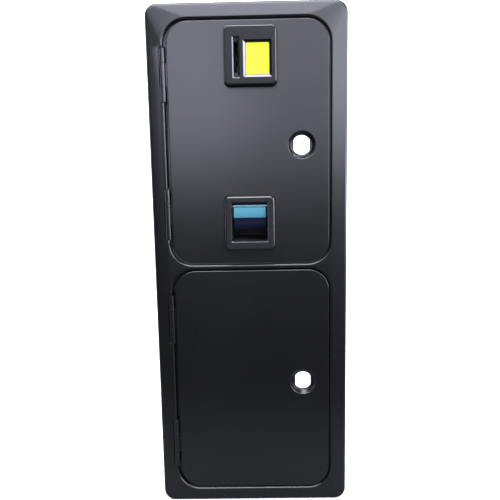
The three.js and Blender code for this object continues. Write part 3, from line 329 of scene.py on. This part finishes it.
def finished(name, bm, material, sheet=None, edge=None, recalculate=True, front=None):
    """Makes the object, with its sheet thickness, eased edges and flat faces that stay flat.

    A front material goes on the faces that look forward and on the walls of passages.
    """
    sharp, eased_from = math.radians(35), math.radians(50)
    bmesh.ops.remove_doubles(bm, verts=bm.verts, dist=1e-7)
    if recalculate:
        bmesh.ops.recalc_face_normals(bm, faces=bm.faces)
    for face in bm.faces:
        face.smooth = True
        face.material_index = int(front is not None and (faces_front(face) or inside(face)))
    for seam in bm.edges:
        if len(seam.link_faces) == 2:
            seam.smooth = seam.calc_face_angle(0) < sharp
    mesh = bpy.data.meshes.new(name)
    bm.to_mesh(mesh)
    bm.free()
    for layer in (material, front):
        if layer:
            mesh.materials.append(layer)
    piece = bpy.data.objects.new(name, mesh)
    bpy.context.collection.objects.link(piece)
    if sheet:
        solidify = piece.modifiers.new("sheet", "SOLIDIFY")
        solidify.thickness = sheet
        solidify.offset = -1
        solidify.use_even_offset = True
    if edge:
        eased = piece.modifiers.new("eased_edges", "BEVEL")
        eased.width = edge
        eased.segments = 3
        eased.limit_method = "ANGLE"
        eased.angle_limit = eased_from
    flat = piece.modifiers.new("flat_faces", "WEIGHTED_NORMAL")
    flat.keep_sharp = True
    return piece


def stands_for(piece, *nodes):
    """The piece takes the place and body of CAD nodes, which are hidden."""
    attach(piece, body_of[nodes[0]])
    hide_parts(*nodes)


black_coat = surface(
    "satin_black_powder_coat", (0.0016, 0.0016, 0.0018), (0.0024, 0.0024, 0.0026),
    roughness=(0.25, 0.28), grains=1400, blotches=9, depth=0.004 * MM,
)
SHEET = 1.5 * MM
HINGES = [(side, place) for side in ("upper", "lower") for place in ("top", "bottom")]


def surround_pressing():
    """The outside of the sheet, from the bent rim over the flange and into each opening."""
    rim_depth, rim_corner, rim_bend, fall = 7 * MM, 12 * MM, 3 * MM, 1.6 * MM
    lip_bend, lip_depth, stop_width, end_flange = 1.6 * MM, 9 * MM, 5 * MM, 15.5 * MM
    opening, opening_z, opening_corner = (168 * MM, 248 * MM), 126 * MM, 24 * MM
    low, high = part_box("frame_surround")
    frame_size = [high[i] - low[i] for i in (0, 2)]
    bm = bmesh.new()

    def grown(size, extra):
        return [length + 2 * extra for length in size]

    outer = [outline_loop(bm, frame_size, rim_corner, rim_depth)]
    for inset, rise in quarter_round(rim_bend):
        y = fall + rim_bend - rise
        outer.append(outline_loop(bm, grown(frame_size, -inset), rim_corner - inset, y))
    shoulder = (*grown(frame_size, -rim_bend), rim_corner - rim_bend, fall)
    grow = lip_bend + 0.3 * MM
    crown_size = grown((opening[0], frame_size[1] - 2 * end_flange), grow)
    crown = (*crown_size, opening_corner + grow, 0)
    for share in (0.03, 0.97, 1):
        width, height, radius, y = [a + (b - a) * share for a, b in zip(shoulder, crown)]
        outer.append(outline_loop(bm, (width, height), radius, y))
    skin(bm, outer)
    rims = []
    for side in (1, -1):
        place = (0, side * opening_z)
        lip = [
            outline_loop(bm, grown(opening, inset), opening_corner + inset, lip_bend - rise, place)
            for inset, rise in reversed(quarter_round(lip_bend))
        ]
        for inset in (0, stop_width):
            size = grown(opening, -inset)
            lip.append(outline_loop(bm, size, opening_corner - inset, lip_depth - SHEET, place))
        skin(bm, lip)
        rims.append(lip[0])
    fill(bm, outer[-1], *rims)
    bmesh.ops.remove_doubles(bm, verts=bm.verts, dist=1e-7)
    bmesh.ops.recalc_face_normals(bm, faces=bm.faces)
    return bm


def saw_hinge_notches(bm):
    """Cuts the lip away in front of each hinge's knuckles."""
    left, right, end_room = -88.4 * MM, -83 * MM, 0.75 * MM
    for side, place in HINGES:
        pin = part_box(f"{side}_door_{place}_hinge_pin")
        low, high = pin[0][2] - end_room, pin[1][2] + end_room
        for z in (low, high):
            everything = bm.verts[:] + bm.edges[:] + bm.faces[:]
            bmesh.ops.bisect_plane(bm, geom=everything, plane_co=(0, 0, z), plane_no=(0, 0, 1))
        for x in (left, right):
            centres = {f: f.calc_center_median() for f in bm.faces}
            beside = [f for f, c in centres.items() if low < c.z < high and c.x < 0]
            parts = {e for f in beside for e in f.edges} | {v for f in beside for v in f.verts}
            geometry = beside + list(parts)
            bmesh.ops.bisect_plane(bm, geom=geometry, plane_co=(x, 0, 0), plane_no=(1, 0, 0))
        centres = {f: f.calc_center_median() for f in bm.faces}
        gone = [f for f, c in centres.items() if low < c.z < high and left < c.x < right]
        bmesh.ops.delete(bm, geom=gone, context="FACES")


pressing = surround_pressing()
saw_hinge_notches(pressing)
surround = finished("surround_pressing", pressing, black_coat, sheet=SHEET)
stands_for(surround, "frame_surround")

# ----------------------------------------------------- sleeve and strikes
# The sleeve is a welded box of coated sheet that passes through the cabinet's
# cut-out, with a tab for each clamp. The strikes are zinc-plated angle.


def dressed(node, material, edge=0.25 * MM):
    """The CAD shape as one merged mesh, with its corners eased and its own finish."""
    bm = bmesh.new()
    bm.from_mesh(frame["nodes"][node].data)
    bmesh.ops.remove_doubles(bm, verts=bm.verts, dist=1e-6)
    bmesh.ops.dissolve_limit(bm, angle_limit=math.radians(0.5), verts=bm.verts, edges=bm.edges)
    piece = finished(f"{node}_dressed", bm, material, edge=edge, recalculate=False)
    stands_for(piece, node)
    return piece


zinc = surface(
    "zinc_plate", (0.55, 0.56, 0.57), (0.47, 0.49, 0.52), roughness=(0.28, 0.42),
    grains=900, blotches=120, depth=0.002 * MM, metallic=1.0,
)
dressed("frame_sleeve", black_coat, 0.2 * MM)
for side in ("upper", "lower"):
    dressed(f"{side}_strike_plate", zinc)

# ------------------------------------------------------------- clamp sets
# Four bolts with round heads pass through the sleeve's tabs, and wing nuts draw
# a bar up behind the cabinet panel. All are zinc-plated steel.


def turned(bm, profile, place, steps=32):
    """Spins a profile of (radius, along) points about an axis that runs front to back."""
    verts = [bm.verts.new((radius, along, 0)) for radius, along in profile]
    edges = [bm.edges.new(pair) for pair in zip(verts, verts[1:])]
    bmesh.ops.spin(
        bm, geom=verts + edges, cent=(0, 0, 0), axis=(0, 1, 0), angle=2 * math.pi, steps=steps,
        use_merge=True,
    )
    bmesh.ops.translate(bm, vec=place, verts=bm.verts)


def clamp_bolt(node):
    """A round head, a plain neck and a thread of stacked ridges."""
    low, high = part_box(node)
    x, z = (low[0] + high[0]) / 2, (low[2] + high[2]) / 2
    head_radius, head_height, shank, neck = 5 * MM, 2.1 * MM, 2.5 * MM, 8 * MM
    pitch, crest = 0.8 * MM, 0.35 * MM
    seat = low[1] + head_height
    profile = [(0, low[1]), (2.4 * MM, low[1] + 0.15 * MM), (4.2 * MM, low[1] + 0.8 * MM)]
    profile += [(head_radius, low[1] + 1.6 * MM), (head_radius, seat), (shank, seat)]
    along = seat + neck
    while along + pitch < high[1] - 0.5 * MM:
        profile += [(shank, along), (shank, along + 0.25 * pitch), (shank - crest, along + 0.6 * pitch)]
        along += pitch
    profile += [(shank - crest, high[1]), (0, high[1])]
    bm = bmesh.new()
    turned(bm, profile, (x, 0, z), steps=24)
    stands_for(finished(f"{node}_turned", bm, zinc), node)


for end in ("upper", "lower"):
    for side in ("left", "right"):
        clamp_bolt(f"{end}_{side}_clamp_bolt")
        dressed(f"{end}_{side}_clamp_bar", zinc, 0.4 * MM)
        dressed(f"{end}_{side}_clamp_nut", zinc, 0.3 * MM)

# ------------------------------------------------------------------ doors
# Two blanked doors of 2 mm steel with eased edges, each pressed into a dish
# round a double-D lock hole, in the same coat as the surround.
DOOR_SHEET = 2 * MM


def hole(bm, size, radius, place, y_front, y_back, steps=4):
    """A hole's wall, and its two rims for the flat faces round it."""
    loops = [outline_loop(bm, size, radius, y, place, steps) for y in (y_front, y_back)]
    skin(bm, loops)
    return loops


def round_hole(bm, radius, place, y_front, y_back, steps=16):
    """A drilled hole's wall, and its two rims."""
    loops = [circle_loop(bm, radius, y, place, steps) for y in (y_front, y_back)]
    skin(bm, loops)
    return loops


def lock_dish(bm, place):
    """The dish, open at its rims: pressed wall, floor and the double-D hole."""
    depth, rim, floor = 4 * MM, 14 * MM, 11 * MM
    hole_radius, hole_flat = 9.75 * MM, 8.25 * MM
    shift = DOOR_SHEET * 0.75
    front = [(rim + 0.5 * MM, 0), (rim, 0.12 * MM), (rim - 0.4 * MM, 0.45 * MM)]
    front += [(floor + 0.3 * MM, depth - 0.35 * MM), (floor - 0.1 * MM, depth - 0.08 * MM)]
    front.append((floor - 0.6 * MM, depth))
    back = [(rim + shift, DOOR_SHEET), (floor + shift, depth + DOOR_SHEET)]
    rims = []
    for wall, y in ((front, depth), (back, depth + DOOR_SHEET)):
        loops = [circle_loop(bm, radius, at, place) for radius, at in wall]
        skin(bm, loops)
        double_d = circle_loop(bm, hole_radius, y, place)
        for vert in {v for e in double_d for v in e.verts}:
            vert.co.x = place[0] + max(-hole_flat, min(hole_flat, vert.co.x - place[0]))
        fill(bm, loops[-1], double_d)
        rims.append((loops[0], double_d))
    skin(bm, [rims[0][1], rims[1][1]])
    return rims[0][0], rims[1][0]


def door(side, cutouts):
    """The blank, its dish, and the openings that each cutout makes through it."""
    low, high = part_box(f"{side}_door_panel")
    size = (high[0] - low[0], high[2] - low[2])
    middle = ((high[0] + low[0]) / 2, (high[2] + low[2]) / 2)
    front_round, back_round, corner = 0.8 * MM, 0.3 * MM, 21.75 * MM
    lock_x, lock_drop = 54.55 * MM, 1.2 * MM
    bm = bmesh.new()
    edge = []
    for inset, rise in reversed(quarter_round(front_round, 6)):
        smaller = [length - 2 * inset for length in size]
        edge.append(outline_loop(bm, smaller, corner - inset, front_round - rise, middle))
    for inset, y in ((0, DOOR_SHEET - back_round), (back_round, DOOR_SHEET)):
        edge.append(outline_loop(bm, [length - 2 * inset for length in size], corner - inset, y, middle))
    skin(bm, edge)
    dish = lock_dish(bm, (lock_x, middle[1] - lock_drop))
    walls = [cut(bm) for cut in cutouts]
    fill(bm, edge[0], dish[0], *[wall[0] for wall in walls])
    fill(bm, edge[-1], dish[1], *[wall[1] for wall in walls])
    stands_for(finished(f"{side}_door_blank", bm, black_coat), f"{side}_door_panel")


ENTRY = (3.55 * MM, 211.75 * MM)
RETURN = (0.3 * MM, 46.4 * MM)
ENTRY_STUDS = [(-19.55 * MM, 22.65 * MM), (18.45 * MM, -24.75 * MM)]
RETURN_STUD = 23.38 * MM
stud_places = [(ENTRY[0] + x, ENTRY[1] + z) for x, z in ENTRY_STUDS]
stud_places += [(RETURN[0] + turn * RETURN_STUD, RETURN[1]) for turn in (-1, 1)]
HOLE_CORNER = 1 * MM
STUD_HOLE = 1.8 * MM
upper_cutouts = [
    lambda bm, size=size, place=place: hole(bm, size, HOLE_CORNER, place, 0, DOOR_SHEET)
    for size, place in (
        ((40.9 * MM, 37.95 * MM), (ENTRY[0] + 1.55 * MM, ENTRY[1] - 2.93 * MM)),
        ((39 * MM, 42.3 * MM), (RETURN[0], RETURN[1] + 1.15 * MM)),
    )
]
upper_cutouts += [
    lambda bm, place=place: round_hole(bm, STUD_HOLE, place, 0, DOOR_SHEET) for place in stud_places
]
door("upper", upper_cutouts)
door("lower", [])

# ----------------------------------------------------------------- hinges
# Butt hinges with three knuckles each: the frame leaf lies along the sleeve with
# a foot behind the lip, the door leaf is welded to the door, and a pin joins them.
bright = surface(
    "bright_steel", (0.66, 0.66, 0.67), (0.55, 0.56, 0.58), roughness=(0.18, 0.30),
    grains=700, blotches=60, depth=0.0015 * MM, metallic=1.0,
)
for side, place in HINGES:
    for leaf in ("frame", "door"):
        dressed(f"{side}_door_{place}_hinge_{leaf}_leaf", black_coat, 0.2 * MM)
    dressed(f"{side}_door_{place}_hinge_pin", black_coat, 0.2 * MM)

# ------------------------------------------------------------ coin entry
# A moulded black bezel, polished at its rounded rim and bevels and textured on
# its face, with a coin slot beside the button's well. Two studs with nuts hold it.
BACK_FACE = -0.3 * MM
STUD_END = 8 * MM
black_plastic = surface(
    "black_moulded_plastic", (0.0018, 0.0018, 0.002), (0.0026, 0.0026, 0.003),
    roughness=(0.13, 0.18), grains=2200, blotches=18, depth=0.001 * MM, Specular_IOR_Level=0.6,
)
textured_plastic = surface(
    "textured_black_plastic", (0.0030, 0.0030, 0.0034), (0.0042, 0.0042, 0.0048),
    roughness=(0.50, 0.58), grains=2600, blotches=70, depth=0.02 * MM, Specular_IOR_Level=0.22,
)


def studs(bm, places):
    """Moulded studs that stand out of a bezel's back, closed at their ends."""
    radius, chamfer = 1.5 * MM, 0.4 * MM
    rims = []
    for place in places:
        loops = [circle_loop(bm, size, y, place, 16) for size, y in (
            (radius, BACK_FACE), (radius, STUD_END - chamfer), (radius - chamfer, STUD_END),
        )]
        skin(bm, loops)
        fill(bm, loops[-1])
        rims.append(loops[0])
    return rims


def bezel_outside(bm, size, proud, edge, centre):
    """From the wide back edge up the drafted side and over the rounded rim."""
    corner, draft = 5 * MM, 0.9 * MM
    wide = [length + 2 * draft for length in size]
    loops = [outline_loop(bm, wide, corner + draft, BACK_FACE, centre)]
    for inset, rise in quarter_round(edge, 8):
        smaller = [length - 2 * inset for length in size]
        loops.append(outline_loop(bm, smaller, corner - inset, edge - proud - rise, centre))
    skin(bm, loops)
    return loops[0], loops[-1]


def stepped_passage(bm, steps_in, place, steps=4):
    """A passage through rounded rectangles of (width, height, radius, y), in millimetres."""
    loops = [
        outline_loop(bm, (width * MM, height * MM), radius * MM, y * MM, place, steps)
        for width, height, radius, y in steps_in
    ]
    skin(bm, loops)
    return loops[0], loops[-1]


BUTTON = (10.65 * MM, 208.5 * MM)


def entry_bezel():
    bm = bmesh.new()
    size, proud, edge = (51.7 * MM, 56.3 * MM), 14.5 * MM, 1.6 * MM
    slot_place = (-10.25 * MM, 209.8 * MM)
    back, face = bezel_outside(bm, size, proud, edge, ENTRY)
    slot = stepped_passage(bm, [
        (7.5, 39.8, 0.5, -14.5), (7.1, 39.4, 0.5, -14.4), (4.2, 36.5, 0.35, -13.3), (3.6, 35.9, 0.3, -12.8),
        (3.2, 29, 0.3, -12.3), (3.2, 29, 0.3, -8.5), (3.2, 29, 0.3, 17.5), (9.2, 35, 0.6, 17.5),
        (9.2, 35, 0.6, -0.3),
    ], slot_place)
    well = stepped_passage(bm, [
        (28.1, 35.6, 0.6, -14.5), (27.7, 35.2, 0.6, -14.4), (23.8, 31.3, 0.5, -13.3), (23.5, 31, 0.5, -13.1),
        (23.5, 31, 0.5, -9), (25.6, 33.1, 0.5, -9), (25.6, 33.1, 0.5, 9), (28.8, 36.3, 0.8, 9),
        (28.8, 36.3, 0.8, -0.3),
    ], BUTTON)
    fill(bm, face, slot[0], well[0])
    fill(bm, back, slot[1], well[1], *studs(bm, stud_places[:2]))
    bezel = finished("coin_entry_moulding", bm, black_plastic, front=textured_plastic)
    stands_for(bezel, "coin_entry_bezel")


entry_bezel()
for number in (1, 2):
    dressed(f"entry_bezel_nut_{number}", zinc, 0.2 * MM)

# --------------------------------------------------------- reject button
# A hollow push button in translucent yellow, with a raised border and a plain ring, pushed forward by a coil
# spring. A lamp stands behind it, but the button's glow is painted light: emission in its own yellow.
yellow = surface(
    "yellow_plastic_painted_glow", (0.70, 0.77, 0.012), (0.62, 0.68, 0.008), roughness=(0.30, 0.36),
    grains=300, blotches=60, depth=0.004 * MM, Emission_Strength=0.16, Specular_IOR_Level=0.3,
)


def reject_button():
    """Face, border, raised ring and bar in front; a cavity and a stem behind."""
    bm = bmesh.new()
    ring_drop, bar_rise = 2 * MM, 7.6 * MM
    outside = [
        (24.8, 32.3, 0.5, -7.2), (24.8, 32.3, 0.5, -8.7), (22.5, 30, 0.6, -8.7), (22.5, 30, 0.6, -11.6),
        (22.3, 29.8, 0.6, -11.85), (21.7, 29.2, 0.6, -12), (19.6, 27.1, 0.6, -12), (19.2, 26.7, 0.6, -11.9),
        (18.1, 25.6, 0.6, -11.2),
    ]
    rim, floor = stepped_passage(bm, outside, BUTTON)
    ring_place = (BUTTON[0], BUTTON[1] - ring_drop)
    ring = [circle_loop(bm, radius * MM, y * MM, ring_place, 40) for radius, y in (
        (7.0, -11.2), (6.7, -11.6), (6.4, -11.7), (6.0, -11.7), (5.7, -11.6), (5.4, -11.2),
    )]
    skin(bm, ring)
    fill(bm, ring[-1])
    bar_place = (BUTTON[0], BUTTON[1] + bar_rise)
    bar = stepped_passage(bm, [
        (3.6, 1.8, 0.3, -11.2), (3.2, 1.4, 0.3, -11.6), (2.8, 1.0, 0.3, -11.7),
    ], bar_place, 3)
    fill(bm, bar[1])
    fill(bm, floor, ring[0], bar[0])
    cavity = stepped_passage(bm, [(19.5, 27, 0.6, -7.2), (19.5, 27, 0.6, -9.9)], BUTTON)
    fill(bm, rim, cavity[0])
    stem = [circle_loop(bm, radius * MM, y * MM, BUTTON, 32) for radius, y in (
        (2.5, -9.9), (2.5, 17.7), (2.2, 18), (1.3, 18), (1.3, 19.7), (1.0, 20),
    )]
    skin(bm, stem)
    fill(bm, cavity[1], stem[0])
    fill(bm, stem[-1])
    stands_for(finished("reject_button_moulding", bm, yellow), "reject_button")


def coil(bm, centre, axis, radius, wire, start, end, turns, sides=8):
    """A wire spun round an axis, with its pitch given by the length and the turns."""
    steps_per_turn = 20
    steps = turns * steps_per_turn
    along, across = Vector(axis), Vector((1, 0, 0))
    made = bmesh.ops.create_circle(bm, cap_ends=True, segments=sides, radius=wire)["verts"]
    upright = Vector((0, 0, 1)).rotation_difference(along.cross(across)).to_matrix()
    bmesh.ops.rotate(bm, cent=(0, 0, 0), matrix=upright, verts=made)
    start_place = Vector(centre) + across * radius + along * (start + wire)
    bmesh.ops.translate(bm, vec=start_place, verts=made)
    loop = list({e for v in made for e in v.link_edges})
    step = along * ((end - start - 2 * wire) / steps)
    made = bmesh.ops.spin(
        bm, geom=loop, cent=centre, axis=axis, angle=2 * math.pi * turns, steps=steps, dvec=step,
    )
    last = [e for e in made["geom_last"] if isinstance(e, bmesh.types.BMEdge)]
    bmesh.ops.contextual_create(bm, geom=last)


WIRE = 0.35 * MM


def button_spring():
    coil_radius, turns = 3.6 * MM, 7
    low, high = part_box("button_return_spring")
    centre = Vector(((low[0] + high[0]) / 2, 0, (low[2] + high[2]) / 2))
    bm = bmesh.new()
    coil(bm, centre, (0, 1, 0), coil_radius, WIRE, low[1], high[1], turns)
    spring = finished("button_return_coil", bm, bright)
    stands_for(spring, "button_return_spring")
    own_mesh(spring)


def lamp():
    low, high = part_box("lamp_bulb")
    centre = ((low[0] + high[0]) / 2, 0, (low[2] + high[2]) / 2)
    radius, chamfer, tip, back = 2.9 * MM, 0.2 * MM, low[1], high[1]
    dome = [(rise, tip + inset) for inset, rise in quarter_round(radius, 8)]
    bm = bmesh.new()
    turned(bm, dome + [(radius, back - chamfer), (radius - chamfer, back), (0, back)], centre)
    glass = surface(
        "frosted_lamp_glass", (1.0, 0.95, 0.80), (1.0, 0.90, 0.72), roughness=(0.3, 0.4),
        grains=800, blotches=80, depth=0.004 * MM, Emission_Strength=2.0,
    )
    stands_for(finished("lamp_envelope", bm, glass), "lamp_bulb")


reject_button()
button_spring()
lamp()
white_plastic = surface(
    "white_moulded_plastic", (0.74, 0.73, 0.69), (0.68, 0.67, 0.62), roughness=(0.38, 0.48),
    grains=900, blotches=60, depth=0.006 * MM,
)
dressed("lamp_holder", white_plastic, 0.25 * MM)

# ------------------------------------------------------------ coin return
# A shallower bezel round a square mouth, a translucent blue flap on a steel
# pin, and a moulded cup behind the door that catches the coins.
blue = surface(
    "clear_blue_plastic", (0.075, 0.22, 0.275), (0.05, 0.18, 0.24), roughness=(0.16, 0.26),
    grains=260, blotches=90, depth=0.02 * MM,
)


def paint_shade_outside_band(material, low, high, blend, dark):
    """Paints shade into the colour above and below a band of heights; the band keeps the bright colour that
    stands in for light through the clear plastic.
    """
    nodes, links = material.node_tree.nodes, material.node_tree.links
    shader = nodes["Principled BSDF"]
    coords = nodes.new("ShaderNodeTexCoord")
    height = nodes.new("ShaderNodeSeparateXYZ")
    links.new(coords.outputs["Object"], height.inputs["Vector"])
    shares = []
    for edge, run in ((low, blend), (high, -blend)):
        share = nodes.new("ShaderNodeMapRange")
        share.inputs["From Min"].default_value = edge - run
        share.inputs["From Max"].default_value = edge + run
        links.new(height.outputs["Z"], share.inputs["Value"])
        shares.append(share)
    both = nodes.new("ShaderNodeMath")
    both.operation = "MULTIPLY"
    for share, socket in zip(shares, both.inputs):
        links.new(share.outputs["Result"], socket)
    painted_shade_mix = nodes.new("ShaderNodeMix")
    painted_shade_mix.data_type = "RGBA"
    painted_shade_mix.inputs["A"].default_value = (*dark, 1)
    links.new(both.outputs["Value"], painted_shade_mix.inputs["Factor"])
    links.new(shader.inputs["Base Color"].links[0].from_socket, painted_shade_mix.inputs["B"])
    links.new(painted_shade_mix.outputs["Result"], shader.inputs["Base Color"])


flap_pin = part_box("flap_pin")
flap_axis = (flap_pin[0][2] + flap_pin[1][2]) / 2
# The flap's bright band is painted light, and its dark top and bottom are painted shade.
paint_shade_outside_band(
    blue, low=flap_axis - 12 * MM, high=flap_axis + 0.3 * MM, blend=0.4 * MM, dark=(0.003, 0.005, 0.02),
)


def return_bezel():
    bm = bmesh.new()
    size, proud, edge, mouth_rise = (51.4 * MM, 55.7 * MM), 10 * MM, 2.2 * MM, 1.15 * MM
    back, face = bezel_outside(bm, size, proud, edge, RETURN)
    mouth = stepped_passage(bm, [
        (38, 41.3, 0.8, -10), (37.6, 40.9, 0.8, -9.9), (35.2, 38.5, 0.5, -8.6), (35, 38.3, 0.5, -8.4),
        (35, 38.3, 0.5, 2), (38, 41.3, 0.6, 2), (38, 41.3, 0.6, -0.3),
    ], (RETURN[0], RETURN[1] + mouth_rise))
    fill(bm, face, mouth[0])
    fill(bm, back, mouth[1], *studs(bm, stud_places[2:]))
    bezel = finished("coin_return_moulding", bm, black_plastic, front=textured_plastic)
    stands_for(bezel, "coin_return_bezel")


return_bezel()
dressed("return_flap", blue, 0.4 * MM)
dressed("flap_pin", bright, 0.15 * MM)
dressed("coin_return_cup", textured_plastic, 0.35 * MM)
for number in (1, 2):
    dressed(f"return_bezel_nut_{number}", zinc, 0.2 * MM)

# --------------------------------------------------------- coin mechanism
# Folded plates carry the coin down a rail past a magnet to the cradle. The gate
# plate swings on a pin with a torsion spring when the lever pushes its tab.
plate_steel = surface(
    "brushed_plate_steel", (0.46, 0.46, 0.47), (0.36, 0.37, 0.39), roughness=(0.34, 0.48),
    grains=500, blotches=40, depth=0.002 * MM, stretch=(1, 0.06, 1), metallic=1.0,
)
brass = surface(
    "turned_brass", (0.80, 0.58, 0.22), (0.66, 0.45, 0.16), roughness=(0.22, 0.36),
    grains=900, blotches=70, depth=0.002 * MM, metallic=1.0,
)
magnet = surface(
    "sintered_magnet", (0.05, 0.05, 0.055), (0.09, 0.09, 0.10), roughness=(0.35, 0.55),
    grains=2600, blotches=200, depth=0.02 * MM, metallic=0.6,
)
for node in ("mech_bracket", "reject_lever"):
    dressed(node, zinc, 0.3 * MM)
for node in ("mech_main_plate", "mech_gate_plate", "mech_rail"):
    dressed(node, plate_steel, 0.25 * MM)
dressed("mech_cradle", brass, 0.25 * MM)
dressed("mech_magnet", magnet, 0.5 * MM)
for node in ("mech_gate_pin", "reject_lever_pin", "switch_wire"):
    dressed(node, bright, 0.1 * MM)


def gate_spring():
    coil_radius, turns = 2.0 * MM, 9
    low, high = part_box("mech_gate_spring")
    centre = Vector(((low[0] + high[0]) / 2, (low[1] + high[1]) / 2, 0))
    bm = bmesh.new()
    coil(bm, centre, (0, 0, 1), coil_radius, WIRE, low[2], high[2], turns)
    stands_for(finished("mech_gate_coil", bm, bright), "mech_gate_spring")


gate_spring()

# ------------------------------------------------------ chutes and switch
# Square moulded chutes guide accepted and rejected coins, and the microswitch
# counts each accepted coin with a wire arm.
for node in ("accept_chute", "return_chute", "coin_switch"):
    dressed(node, black_plastic, 0.3 * MM)
